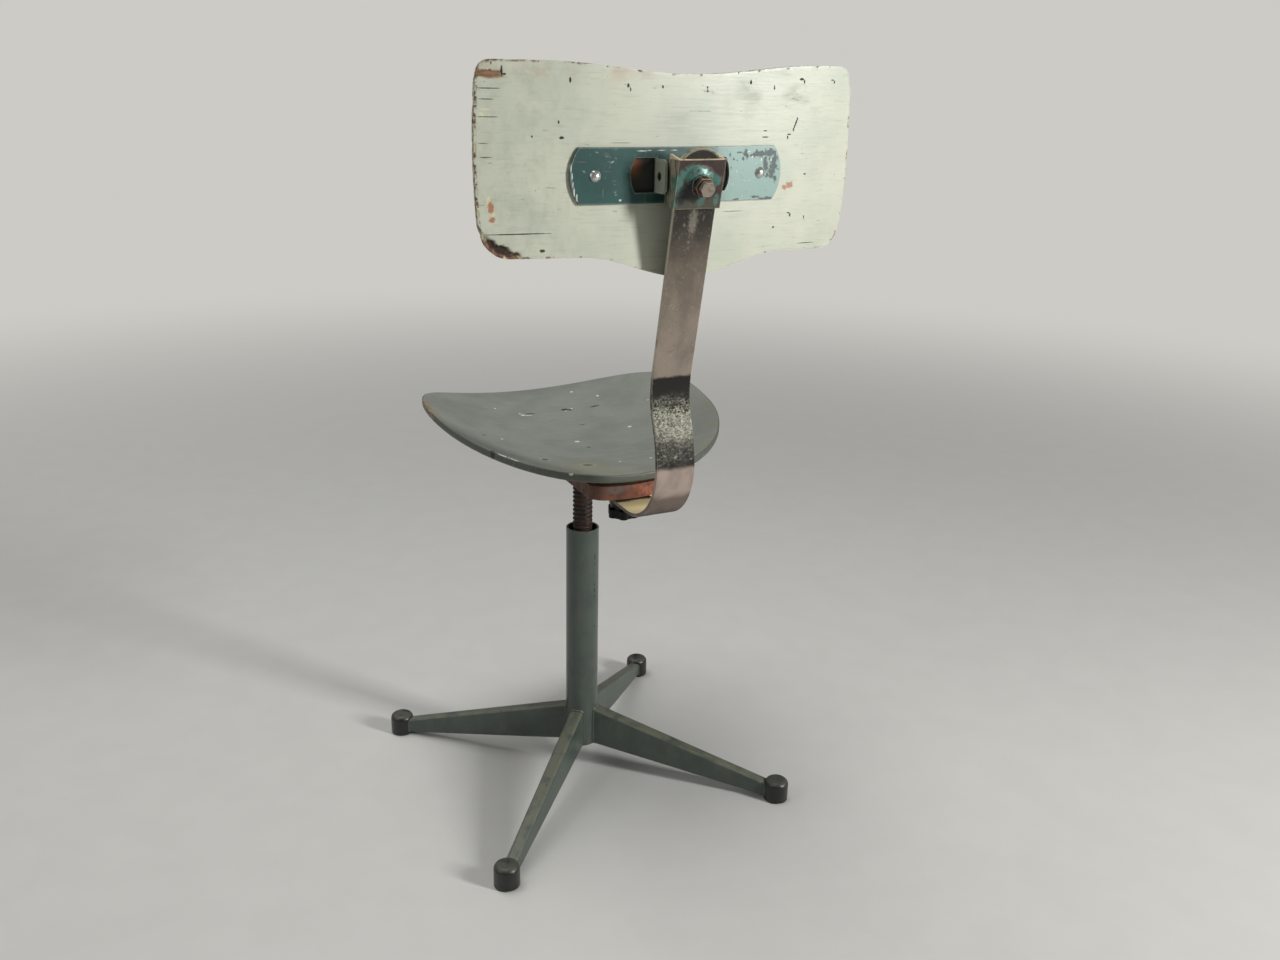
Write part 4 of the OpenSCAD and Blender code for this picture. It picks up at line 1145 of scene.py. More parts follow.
@dataclass(frozen=True)
class TurnedSteel(Finish):
    """Turned or cold-headed steel that was never painted: dark from old grease, with polished
    crests where it rubs and brown rust in the roots."""

    name: str = "greased_mild_steel"
    slot: str = "dark_steel"
    ground: str = "#2c2623"
    rust: str = "#4d3528"
    crest: str = "#6d645b"
    metal: float = 0.55
    bite: float = 0.6

    def mix(self, recipe: Recipe) -> None:
        """Lays the dark ground, then its rust and polished crests.

        Args:
            recipe: The material to lay them on.
        """
        rusty = recipe.patches(0.42, 0.62, 6.0, detail=5.0)
        dull = recipe.patches(0.45, 0.7, 13.0, detail=4.0, shift=3.0)
        crests = recipe.edges(0.9, self.bite, 3.0)
        recipe.colour(recipe.layers(self.ground, [
            (rusty, self.rust, 0.75), (dull, self.ground, 0.6), (crests, self.crest, 0.75)
        ]))
        recipe.gloss(rusty, 0.38, 0.68)
        recipe.relief([(recipe.grain(1.1, detail=3.0), 0.05), (rusty, 0.04)])
        recipe.constant(Metallic=self.metal)


@dataclass(frozen=True)
class MouldedPhenolic(Finish):
    """Black phenolic moulding: deep black, still glossy in its hollows, dulled and finely
    scratched on the lobes."""

    name: str = "moulded_phenolic_black"
    slot: str = "black_plastic"

    def mix(self, recipe: Recipe) -> None:
        """Lays the black ground, then its dust, rub and scratches.

        Args:
            recipe: The material to lay them on.
        """
        dust = recipe.patches(0.45, 0.75, 5.0, detail=5.0)
        rub = recipe.edges(2.0, 0.6, 5.0)
        scratch = recipe.patches(0.66, 0.7, 1.4, stretch=(0.2, 1, 1), detail=2.0)
        recipe.colour(recipe.layers("#060606", [
            (dust, "#12110f", 0.6), (rub, "#1f1e1b", 0.5), (scratch, "#2e2c27", 0.3)
        ]))
        recipe.gloss(recipe.joined([dust, rub], Where.ANY), 0.3, 0.55)
        recipe.relief([(recipe.grain(2.0, detail=2.0), 0.03), (scratch, -0.04)])
        recipe.constant(Specular_IOR_Level=0.2)


@dataclass(frozen=True)
class Rubber(Finish):
    """Black vulcanised rubber, greyed by bloom and floor dust, with a matt skin."""

    name: str = "vulcanised_rubber_black"
    slot: str = "black_rubber"

    def mix(self, recipe: Recipe) -> None:
        """Lays the black ground, then its bloom and grit.

        Args:
            recipe: The material to lay them on.
        """
        bloom = recipe.patches(0.35, 0.7, 6.0, detail=5.0)
        grit = recipe.patches(0.62, 0.68, 1.0, detail=2.0, shift=3.0)
        recipe.colour(recipe.layers("#1b1b1a", [(bloom, "#3a3933", 0.7), (grit, "#6b685d", 0.4)]))
        recipe.gloss(bloom, 0.7, 0.92)
        recipe.relief([(recipe.grain(0.8, detail=2.0), 0.05), (grit, 0.05)])


@dataclass(frozen=True)
class RivetAluminium(Finish):
    """Cold-headed aluminium rivet: bright, softly pitted by the snap, with dirt round its foot."""

    name: str = "cold_headed_aluminium"
    slot: str = "rivet_aluminium"

    def mix(self, recipe: Recipe) -> None:
        """Lays the bright ground, then its dull spots and pits.

        Args:
            recipe: The material to lay them on.
        """
        dull = recipe.patches(0.42, 0.68, 2.6, detail=4.0)
        pits = recipe.patches(0.66, 0.7, 0.9, detail=2.0, shift=2.0)
        recipe.colour(recipe.layers("#cfd0ca", [(dull, "#a4a59c", 0.6), (pits, "#4c4a44", 0.7)]))
        recipe.gloss(dull, 0.28, 0.5)
        recipe.relief([(recipe.grain(1.4, detail=2.0), 0.06), (pits, -0.08)])
        recipe.constant(Metallic=0.85)


@dataclass(frozen=True)
class TurnedBrass(Finish):
    """Turned brass insert, tarnished brown between its fine turning lines."""

    name: str = "turned_brass"
    slot: str = "brass"

    def mix(self, recipe: Recipe) -> None:
        """Lays the brass, then its tarnish and turning lines.

        Args:
            recipe: The material to lay them on.
        """
        tarnish = recipe.patches(0.4, 0.66, 2.2, detail=4.0)
        lines = recipe.patches(0.4, 0.7, 0.5, stretch=(0.1, 0.1, 1), detail=1.0)
        recipe.colour(recipe.layers("#b0904f", [
            (tarnish, "#6f5730", 0.7), (lines, "#d0b26c", 0.3)
        ]))
        recipe.gloss(tarnish, 0.28, 0.5)
        recipe.relief([(lines, 0.02)])
        recipe.constant(Metallic=1.0)


ENAMEL = BaseEnamel()
CAP_ENAMEL = BaseEnamel(
    name="alkyd_enamel_dark_green", coat="#171915", cloud="#111310", dust="#4b4c42", rub="#5c5d54"
)
SEAT_PAINT = SeatPaint()
BACK_PAINT = BackrestPaint()
TEAL = TealEnamel()
PRIMER = RustPrimer()
CLAMP_STEEL = ClampRust()
SPRING = SpringSteel()
GREASED = TurnedSteel()
BOLT_STEEL = TurnedSteel(
    "weathered_bolt_steel", "dark_steel", "#5d574e", "#54402f", "#a8a292", metal=0.7, bite=0.85
)
NUT_STEEL = TurnedSteel(
    "weathered_nut_steel", "rusted_steel", "#4b4036", "#56392a", "#d9c4a2", metal=0.4, bite=0.95
)
SCREW_STEEL = TurnedSteel(
    "weathered_screw_steel", "spring_steel", "#8b8275", "#6b5543", "#c2baa8", metal=0.6, bite=0.85
)
PHENOLIC = MouldedPhenolic()
RUBBER = Rubber()
RIVET = RivetAluminium()
BRASS = TurnedBrass()


# Modelling


def lay_down_tools() -> None:
    """Leaves edit mode with nothing selected."""
    if bpy.context.object and bpy.context.object.mode != "OBJECT":
        bpy.ops.object.mode_set(mode="OBJECT")
    bpy.ops.object.select_all(action="DESELECT")


def take_up(piece: bpy.types.Object) -> bpy.types.Object:
    """Makes a piece the one that is selected and active.

    Args:
        piece: The piece.

    Returns:
        The same piece.
    """
    lay_down_tools()
    piece.select_set(True)
    bpy.context.view_layer.objects.active = piece
    return piece


@contextmanager
def at_bench(piece: bpy.types.Object) -> Iterator[None]:
    """Holds a piece in edit mode with all of it selected, and lays it down again.

    Args:
        piece: The piece.

    Yields:
        Nothing; the piece is held while the block runs.
    """
    take_up(piece)
    bpy.ops.object.mode_set(mode="EDIT")
    bpy.ops.mesh.select_all(action="SELECT")
    yield
    bpy.ops.object.mode_set(mode="OBJECT")


def started(name: str) -> bpy.types.Object:
    """Names the primitive that was just added.

    Args:
        name: The name for it and its mesh.

    Returns:
        The piece.
    """
    piece = bpy.context.object
    piece.name = name
    piece.data.name = name
    return piece


def modified(piece: bpy.types.Object, kind: str, **settings: object) -> None:
    """Adds a modifier to a piece and applies it.

    Args:
        piece: The piece.
        kind: The modifier's type.
        **settings: Its properties.
    """
    take_up(piece)
    modifier = piece.modifiers.new(kind.title(), kind)
    for key, value in settings.items():
        setattr(modifier, key, value)
    bpy.ops.object.modifier_apply(modifier=modifier.name)


def rounded(piece: bpy.types.Object, radius: float, segments: int = 2, angle: float = 32.0) -> None:
    """Rounds a piece's sharp edges.

    Args:
        piece: The piece.
        radius: Width of the rounding in mm.
        segments: Faces across it.
        angle: Edges sharper than this many degrees are rounded.
    """
    modified(
        piece, "BEVEL", width=radius * MM, segments=segments, limit_method="ANGLE",
        angle_limit=math.radians(angle), use_clamp_overlap=True, miter_outer="MITER_ARC",
    )


def merged_copy(node: str, name: str) -> bpy.types.Object:
    """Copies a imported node's mesh and joins its loose triangles into whole faces.

    Args:
        node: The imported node.
        name: The copy's name.

    Returns:
        The copy, in its place.
    """
    lay_down_tools()
    piece = bpy.data.objects.new(name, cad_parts[node].data.copy())
    bpy.context.scene.collection.objects.link(piece)
    piece.data.materials.clear()
    # Triangles that lie this flat to each other, in degrees, are one face
    same_face = 0.6
    with at_bench(piece):
        bpy.ops.mesh.remove_doubles(threshold=SAME_POINT)
        bpy.ops.mesh.dissolve_limited(angle_limit=math.radians(same_face))
    return piece


def united(pieces: Sequence[bpy.types.Object], name: str) -> bpy.types.Object:
    """Joins pieces into one mesh.

    Args:
        pieces: The pieces.
        name: The name of the one that is left.

    Returns:
        The joined piece.
    """
    take_up(pieces[0])
    for piece in pieces:
        piece.select_set(True)
    bpy.ops.object.join()
    return started(name)


def handed_in(
    piece: bpy.types.Object,
    body: Body,
    finish: Finish,
    stands_for: Sequence[str] = (),
    smooth: float = 34.0,
) -> bpy.types.Object:
    """Gives a finished piece its shading, finish and body.

    Args:
        piece: The piece, in its place.
        body: The body that it rides on.
        finish: Its finish.
        stands_for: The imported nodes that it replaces.
        smooth: Edges below this many degrees are shaded smooth.

    Returns:
        The piece.
    """
    take_up(piece)
    bpy.ops.object.transform_apply(location=True, rotation=True, scale=True)
    bpy.ops.object.shade_smooth_by_angle(angle=math.radians(smooth))
    piece.data.materials.clear()
    piece.data.materials.append(finish.material())
    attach(piece, body.value)
    if stands_for:
        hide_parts(*stands_for)
    piece.data.calc_loop_triangles()
    LOG.info("%s: %d triangles on %s", piece.name, len(piece.data.loop_triangles), body.value)
    return piece


def dressed(node: str, finish: Finish) -> None:
    """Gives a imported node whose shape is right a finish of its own.

    Args:
        node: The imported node.
        finish: Its finish.
    """
    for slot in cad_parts[node].material_slots:
        slot.material = finish.material()
    LOG.info("%s: dressed", node)


def reworked(
    node: str,
    made: Made,
    body: Body,
    finish: Finish,
    radius: float = 0.5,
    segments: int = 2,
    smooth: float = 34.0,
    shape: Callable[[bpy.types.Mesh], None] | None = None,
) -> None:
    """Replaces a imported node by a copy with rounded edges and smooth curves.

    Args:
        node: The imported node.
        made: How the piece was made.
        body: The body that it rides on.
        finish: Its finish.
        radius: Rounding of its edges in mm, or 0 for none.
        segments: Faces across the rounding.
        smooth: Edges below this many degrees are shaded smooth.
        shape: What moves the copy's points before its edges are rounded.
    """
    piece = merged_copy(node, f"{node}_{made.value}")
    if shape:
        shape(piece.data)
    if radius:
        rounded(piece, radius, segments)
    handed_in(piece, body, finish, [node], smooth)
    # Flat faces stay flat up to their rounded edges, as light on pressed sheet shows
    modified(piece, "WEIGHTED_NORMAL", keep_sharp=True)


def profile(name: str, start: Flat, steps: Sequence[Flat]) -> bpy.types.Object:
    """Draws an open line in the XZ plane by leading one point along.

    Args:
        name: The piece's name.
        start: Radius and height in mm where the line starts.
        steps: How far out and up each of its stretches goes, in mm.

    Returns:
        The line.
    """
    lay_down_tools()
    bpy.ops.mesh.primitive_plane_add(size=MM)
    piece = started(name)
    with at_bench(piece):
        bpy.ops.mesh.merge(type="CENTER")
        bpy.ops.transform.translate(value=(start[0] * MM, 0, start[1] * MM))
        for out, up in steps:
            bpy.ops.mesh.extrude_region_move(
                TRANSFORM_OT_translate={"value": (out * MM, 0, up * MM)}
            )
    return piece


def ramp(value: float, none: float, full: float) -> float:
    """A share from 0 to 1.

    Args:
        value: The value that decides.
        none: Where the share is 0.
        full: Where it reaches 1.

    Returns:
        The share.
    """
    return min(1.0, max(0.0, (value - none) / (full - none)))


def uneven(x: float, z: float, waves: float, seed: float) -> float:
    """Noise from about -1 to 1 over an upright face.

    Args:
        x: Place to the side in mm.
        z: Height in mm.
        waves: How many of its waves go to a mm.
        seed: Moves the noise, so that two of one size differ.

    Returns:
        The noise.
    """
    return noise.noise(Vector((x * waves, z * waves, seed)))


@dataclass
class Thread:
    """An outside thread of trapezoid form, cut as a lathe does: one profile led round a helix."""

    radius: float
    pitch: float
    depth: float
    low: float
    high: float
    steps: int = 40

    def build(self, name: str) -> bpy.types.Object:
        """Models the thread upright on the Z axis, closed at both ends.

        Args:
            name: The piece's name.

        Returns:
            The piece.
        """
        start = self.low - 2 * self.pitch
        root, flank = 0.26 * self.pitch, 0.2 * self.pitch
        # A flank is steep for most of the depth and eases into the crest
        steep, eased = (0.8 * self.depth, 0.8 * flank), (0.2 * self.depth, 0.4 * flank)
        crest = self.pitch - root - 2.4 * flank
        steps = [(0, root), steep, eased, (0, crest), (-eased[0], eased[1]), (-steep[0], steep[1])]
        piece = profile(name, (self.radius - self.depth, start), steps)
        modified(
            piece, "SCREW", axis="Z", angle=math.tau, screw_offset=self.pitch * MM,
            iterations=math.ceil((self.high - start) / self.pitch) + 2,
            steps=self.steps, render_steps=self.steps,
            use_merge_vertices=True, merge_threshold=SAME_POINT,
        )
        with at_bench(piece):
            bpy.ops.mesh.remove_doubles(threshold=2 * SAME_POINT)
            for height, upward in ((self.low, -1), (self.high, 1)):
                bpy.ops.mesh.select_all(action="SELECT")
                bpy.ops.mesh.bisect(
                    plane_co=(0, 0, height * MM), plane_no=(0, 0, upward),
                    use_fill=True, clear_outer=True,
                )
            bpy.ops.mesh.select_all(action="SELECT")
            bpy.ops.mesh.normals_make_consistent(inside=False)
        return piece


def turned(name: str, outline: Sequence[Flat], steps: int = 48) -> bpy.types.Object:
    """Turns a solid on the Z axis from half its section, as on a lathe.

    Args:
        name: The piece's name.
        outline: Radius and height of each corner in mm, both ends on the axis.
        steps: Faces round it.

    Returns:
        The piece.
    """
    stretches = [(r1 - r0, z1 - z0) for (r0, z0), (r1, z1) in zip(outline, outline[1:])]
    piece = profile(name, outline[0], stretches)
    with at_bench(piece):
        bpy.ops.mesh.spin(
            steps=steps, angle=math.tau, center=(0, 0, 0), axis=(0, 0, 1), use_auto_merge=True
        )
        bpy.ops.mesh.select_all(action="SELECT")
        bpy.ops.mesh.remove_doubles(threshold=2 * SAME_POINT)
        bpy.ops.mesh.normals_make_consistent(inside=False)
    return piece


def weld_bead(name: str, path: Sequence[Vector], radius: float, seed: float) -> bpy.types.Object:
    """Lays a rippled weld bead along a closed path.

    Args:
        name: The piece's name.
        path: Points of the closed path in metres.
        radius: Radius of the bead in mm.
        seed: Shifts its unevenness.

    Returns:
        The bead.
    """
    lay_down_tools()
    curve = bpy.data.curves.new(name, "CURVE")
    curve.dimensions = "3D"
    curve.bevel_depth = radius * MM
    curve.bevel_resolution = 2
    spline = curve.splines.new("POLY")
    spline.points.add(len(path) - 1)
    spline.use_cyclic_u = True
    # The ripple of the single puddles and the bead's slow drift: their shares of the radius,
    # and how far each point of the path leads through them
    ripple, drift = 0.16, 0.35
    ripple_step, drift_step = 2.1, 0.31
    for index, (point, at) in enumerate(zip(spline.points, path)):
        point.co = (*at, 1)
        slow = noise.noise(Vector((index * drift_step, seed, 0)))
        point.radius = 1 + (ripple * math.sin(index * ripple_step) + drift * slow)
    piece = bpy.data.objects.new(name, curve)
    bpy.context.scene.collection.objects.link(piece)
    take_up(piece)
    bpy.ops.object.convert(target="MESH")
    return bpy.context.object


@dataclass
class PlyBoard:
    """A moulded plywood board: a flat blank with a rounded rim, pressed to its shape."""

    outline: list[Flat]
    centre: Flat
    thickness: float
    rim_round: float
    strips: tuple[float, ...]
    rings: tuple[float, ...]
    press: Callable[[float, float, float], Point]

    def build(self, name: str) -> bpy.types.Object:
        """Models the board and stores its distance from the rim and its depth in mm.

        Args:
            name: The piece's name.

        Returns:
            The board, pressed.
        """
        lay_down_tools()
        count = len(self.outline)
        bpy.ops.mesh.primitive_circle_add(vertices=count, radius=MM, fill_type="NGON")
        piece = started(name)
        for vertex, (u, v) in zip(piece.data.vertices, self.outline):
            vertex.co = (u * MM, v * MM, 0)
        middle = (self.centre[0] * MM, self.centre[1] * MM, 0)
        with at_bench(piece):
            for strip in self.strips:
                bpy.ops.mesh.inset(thickness=strip * MM)
            reached = 1.0
            for ring in self.rings:
                bpy.ops.mesh.extrude_region_move(TRANSFORM_OT_translate={"value": (0, 0, 0)})
                share = ring / reached
                bpy.ops.transform.resize(value=(share, share, 1), center_override=middle)
                reached = ring
            bpy.ops.mesh.poke()
            bpy.ops.mesh.select_all(action="SELECT")
            bpy.ops.mesh.extrude_region_move(
                TRANSFORM_OT_translate={"value": (0, 0, -self.thickness * MM)}
            )
            bpy.ops.mesh.select_all(action="SELECT")
            bpy.ops.mesh.normals_make_consistent(inside=False)
        rounded(piece, self.rim_round, segments=4, angle=60.0)
        self.pressed(piece)
        # The press may have mirrored the blank, which turns its faces inward
        with at_bench(piece):
            bpy.ops.mesh.normals_make_consistent(inside=False)
        return piece

    def pressed(self, piece: bpy.types.Object) -> None:
        """Stores where each point lies in the blank, then bends the blank.

        Args:
            piece: The flat blank.
        """
        mesh = piece.data
        for name in ("rim", "depth", "bare", "hollow"):
            mesh.attributes.new(name, "FLOAT", "POINT")
        rim, depth = mesh.attributes["rim"], mesh.attributes["depth"]
        rim_step = 0.3
        line = evenly(self.outline, rim_step)
        nearest = kdtree.KDTree(len(line))
        for index, (u, v) in enumerate(line):
            nearest.insert((u, v, 0), index)
        nearest.balance()
        for index, vertex in enumerate(mesh.vertices):
            u, v, down = vertex.co.x / MM, vertex.co.y / MM, -vertex.co.z / MM
            rim.data[index].value = nearest.find((u, v, 0))[2]
            depth.data[index].value = down
            vertex.co = Vector(self.press(u, v, down)) * MM
        mesh.update()


# Sub-assemblies


@dataclass
class Base:
    """Four welded arms, the column tube between them, and a cap and pad under each arm's end."""

    turn: float = 48.0
    arms: int = 4
    foot_circle: float = 257.5
    foot_d: float = 29.5
    column_d: float = 40.0
    root_z: float = 63.5
    root_h: float = 50.0
    root_w: float = 17.2
    tip_z: float = 12.7
    tip_h: float = 20.5
    tip_w: float = 14.7
    # How much lower the tip is inside its weld, where the cap's top edge rounds away
    tip_ease: float = 2.0
    corner: float = 4.0
    root_bead: float = 1.5
    tip_bead: float = 0.8

    def build(self) -> None:
        """Builds and dresses the base."""
        reworked("column_tube", Made.PAINTED, Body.BASE, ENAMEL, segments=3)
        for index in range(1, self.arms + 1):
            reworked(f"arm_{index}", Made.PAINTED, Body.BASE, ENAMEL, radius=0)
            reworked(f"foot_cap_{index}", Made.PAINTED, Body.BASE, CAP_ENAMEL, radius=0.4)
            reworked(f"rubber_pad_{index}", Made.MOULDED, Body.BASE, RUBBER, radius=0.4)
            self.beads(index, self.turn + 360.0 / self.arms * (index - 1))
        dressed("spindle_nut", GREASED)

    def beads(self, index: int, azimuth: float) -> None:
        """Welds an arm to the column and to its foot cap.

        Args:
            index: The arm's number.
            azimuth: The arm's direction in degrees.
        """
        column_r, foot_r = self.column_d / 2, self.foot_d / 2
        root = self.around(self.root_w, self.root_h)
        tip = self.around(self.tip_w, self.tip_h - self.tip_ease)
        at_column = [(math.sqrt(column_r**2 - y * y), y, z + self.root_z) for y, z in root]
        at_foot = [
            (self.foot_circle - math.sqrt(foot_r**2 - y * y), y, z + self.tip_z) for y, z in tip
        ]
        turn = Matrix.Rotation(math.radians(azimuth), 4, "Z")
        welds = ((at_column, "column", self.root_bead), (at_foot, "foot", self.tip_bead))
        for path, label, radius in welds:
            points = [turn @ (Vector(point) * MM) for point in path]
            bead = weld_bead(f"weld_{label}_{index}", points, radius, index + radius)
            handed_in(bead, Body.BASE, ENAMEL, smooth=80.0)

    def around(self, width: float, height: float) -> list[Flat]:
        """Points round an arm's section, about 2 mm apart.

        Args:
            width: The section's width.
            height: The section's height.

        Returns:
            The points as (side, up) from the section's middle.
        """
        gap, corner_parts = 2.0, 4
        r = self.corner
        points: list[Flat] = []
        for quarter, (sx, sz) in enumerate(((1, 1), (-1, 1), (-1, -1), (1, -1))):
            y, z = sx * (width / 2 - r), sz * (height / 2 - r)
            for k in range(corner_parts + 1):
                a = math.radians(90 * quarter + 90 / corner_parts * k)
                points.append((y + r * math.cos(a), z + r * math.sin(a)))
        dense: list[Flat] = []
        for (y0, z0), (y1, z1) in zip(points, points[1:] + points[:1]):
            parts = max(1, round(math.hypot(y1 - y0, z1 - z0) / gap))
            dense += [
                (y0 + (y1 - y0) * k / parts, z0 + (z1 - z0) * k / parts) for k in range(parts)
            ]
        return dense


@dataclass
class Spindle:
    """The seat's lifting screw with its stop washer and bolt."""

    radius: float = 12.0
    pitch: float = 5.5
    depth: float = 1.7
    shoulder_z: float = 215.15
    top_z: float = 433.1
    spigot_r: float = 7.0
    spigot_z: float = 210.85
    # How far the spigot's root stands inside the screw
    spigot_root: float = 2.0
    chamfer: float = 0.5

    def build(self) -> None:
        """Cuts the thread, adds the spigot and dresses the parts at its foot."""
        thread = Thread(self.radius, self.pitch, self.depth, self.shoulder_z, self.top_z)
        root_z = self.shoulder_z + self.spigot_root
        spigot = turned("spigot", [
            (0, root_z), (self.spigot_r, root_z), (self.spigot_r, self.spigot_z + self.chamfer),
            (self.spigot_r - self.chamfer, self.spigot_z), (0, self.spigot_z),
        ])
        screw = united([thread.build("thread"), spigot], "spindle_threaded")
        handed_in(screw, Body.SEAT, GREASED, ["spindle"], smooth=40.0)
        reworked("stop_bolt", Made.HEADED, Body.SEAT, BOLT_STEEL)
        reworked("spindle_collar", Made.TURNED, Body.SEAT, GREASED, radius=0.8)
        dressed("stop_washer", BOLT_STEEL)


@dataclass
class Seat:
    """The dished plywood seat on its pan, with what holds it there."""

    half_w: float = 169.0
    front: float = 190.0
    rear: float = 167.0
    offset: float = 11.4
    middle_z: float = 443.0
    side_rise: float = 39.4
    # Shares of the sides' rise that follow the square and the fourth power of the place
    side_shares: Flat = (0.66, 0.34)
    front_bow: Flat = (29.9, -16.9)
    rear_bow: Flat = (24.0, -16.5)
    power: float = 2 / 2.32
    flare: float = 0.137
    thickness: float = 9.5
    rim_round: float = 2.6
    pan_bulge: float = 8.8
    # Side and rear places in mm between which the pan's bulge fades out, each (0, full)
    bulge_side: Flat = (52.0, 36.0)
    bulge_rear: Flat = (112.0, 122.0)
    steps: int = 240

    def top(self, x: float, f: float) -> float:
        """Height of the seat's top.

        Args:
            x: Place to the side.
            f: Place in front of the column axis.

        Returns:
            The height over the floor.
        """
        u, w = x / self.half_w, f / self.front
        bow = self.rear_bow if f < 0 else self.front_bow
        dish = self.side_rise * (self.side_shares[0] * u * u + self.side_shares[1] * u**4)
        return self.middle_z + dish + bow[0] * w * w + bow[1] * w**4

    def outline(self) -> list[Flat]:
        """The seat's outline.

        Returns:
            Its points as places to the side and in front of the column axis.
        """
        points = []
        for index in range(self.steps):
            a = math.tau * index / self.steps
            c, s = math.cos(a), math.sin(a)
            f = (self.front if s > 0 else self.rear) * math.copysign(abs(s) ** self.power, s)
            x = self.half_w * math.copysign(abs(c) ** self.power, c)
            points.append((x * (1 + self.flare * f / self.front), f + self.offset))
        return points

    def build(self) -> None:
        """Builds the seat board and dresses the pan and the fasteners."""
        strips = (3.2, 2.0, 2.5)
        rings = (
            0.97, 0.94, 0.9, 0.86, 0.81, 0.75, 0.68, 0.6, 0.52, 0.44, 0.36, 0.28, 0.2, 0.12, 0.06
        )
        board = PlyBoard(
            self.outline(), (0.0, self.offset), self.thickness, self.rim_round, strips, rings,
            lambda u, v, down: (u, -v, self.top(u, v) - down),
        ).build("seat_board")
        handed_in(board, Body.SEAT, SEAT_PAINT, ["seat_shell"], smooth=50.0)
        reworked("seat_pan", Made.PRESSED, Body.SEAT, PRIMER, 0.9, 3, shape=self.bulged)
        reworked("bar_saddle", Made.MILLED, Body.SEAT, GREASED)
        reworked("seat_bolts", Made.HEADED, Body.SEAT, BOLT_STEEL, radius=0.35)
        reworked("seat_spacers", Made.MOULDED, Body.SEAT, RUBBER, radius=0.4)
        dressed("seat_inserts", BRASS)
        dressed("clamp_stud", GREASED)

    def bulged(self, pan: bpy.types.Mesh) -> None:
        """Bulges the pan's rear wall out to a straight middle.

        Args:
            pan: The pan's mesh.
        """
        for vertex in pan.vertices:
            side = ramp(abs(vertex.co.x) / MM, *self.bulge_side)
            share = side * ramp(vertex.co.y / MM, *self.bulge_rear)
            vertex.co.y += self.pan_bulge * share * MM


@dataclass
class BackBar:
    """The bent spring-steel bar, the knob that clamps it and the knob's washer."""

    def build(self) -> None:
        """Rounds the bar's edges and the knob's lobes."""
        reworked("back_bar", Made.ROLLED, Body.BAR, SPRING, radius=0.7, segments=3, smooth=30.0)
        reworked("clamp_knob", Made.MOULDED, Body.KNOB, PHENOLIC, radius=2.2, segments=4)
        reworked("knob_washer", Made.PUNCHED, Body.KNOB, BOLT_STEEL, radius=0.3)


@dataclass
class Clamp:
    """The sheet-steel clamp on the bar, its welded nut, its screw and the hinge."""

    y: float = 260.726
    z: float = 766.523
    lean: float = 11.9
    crown: float = 9.05
    nut_af: float = 17.0
    bead: float = 1.1
    bead_points: int = 72

    def seating(self) -> Matrix:
        """Where the clamp stands.

        Returns:
            Its frame, with Z along the screw and away from the bar.
        """
        lean = Matrix.Rotation(math.radians(-self.lean), 4, "X")
        along_screw = Matrix.Rotation(math.radians(-90), 4, "X")
        return Matrix.Translation(Vector((0, self.y, self.z)) * MM) @ lean @ along_screw

    def build(self) -> None:
        """Builds and dresses the clamp."""
        reworked("clamp_box", Made.FOLDED, Body.CLAMP, CLAMP_STEEL, radius=0.7, segments=3)
        reworked("clamp_pad", Made.SHEARED, Body.CLAMP, CLAMP_STEEL, radius=0.4)
        reworked("weld_nut", Made.FORGED, Body.CLAMP, NUT_STEEL, radius=0.9, segments=3)
        reworked("hinge_pin", Made.TURNED, Body.CLAMP, GREASED, radius=0.6)
        reworked("hinge_washers", Made.PUNCHED, Body.CLAMP, BOLT_STEEL, radius=0.25)
        reworked("clamp_screw", Made.HEADED, Body.SCREW, SCREW_STEEL, segments=3)
        self.weld()

    def weld(self) -> None:
        """Lays the weld round the foot of the nut, halfway between its hexagon and a circle."""
        clear, raised, facet = 0.6, 0.4, 60
        reach = self.nut_af / 2 + clear
        path = []
        for index in range(self.bead_points):
            a = math.tau * index / self.bead_points
            across = math.cos(math.radians((math.degrees(a) + facet / 2) % facet - facet / 2))
            r = 0.5 * reach / across + 0.5 * (reach + clear)
            point = Vector((r * math.cos(a), r * math.sin(a), self.crown + raised))
            path.append(self.seating() @ (point * MM))
        bead = weld_bead("weld_nut_bead", path, self.bead, 9.0)
        handed_in(bead, Body.CLAMP, CLAMP_STEEL, smooth=80.0)


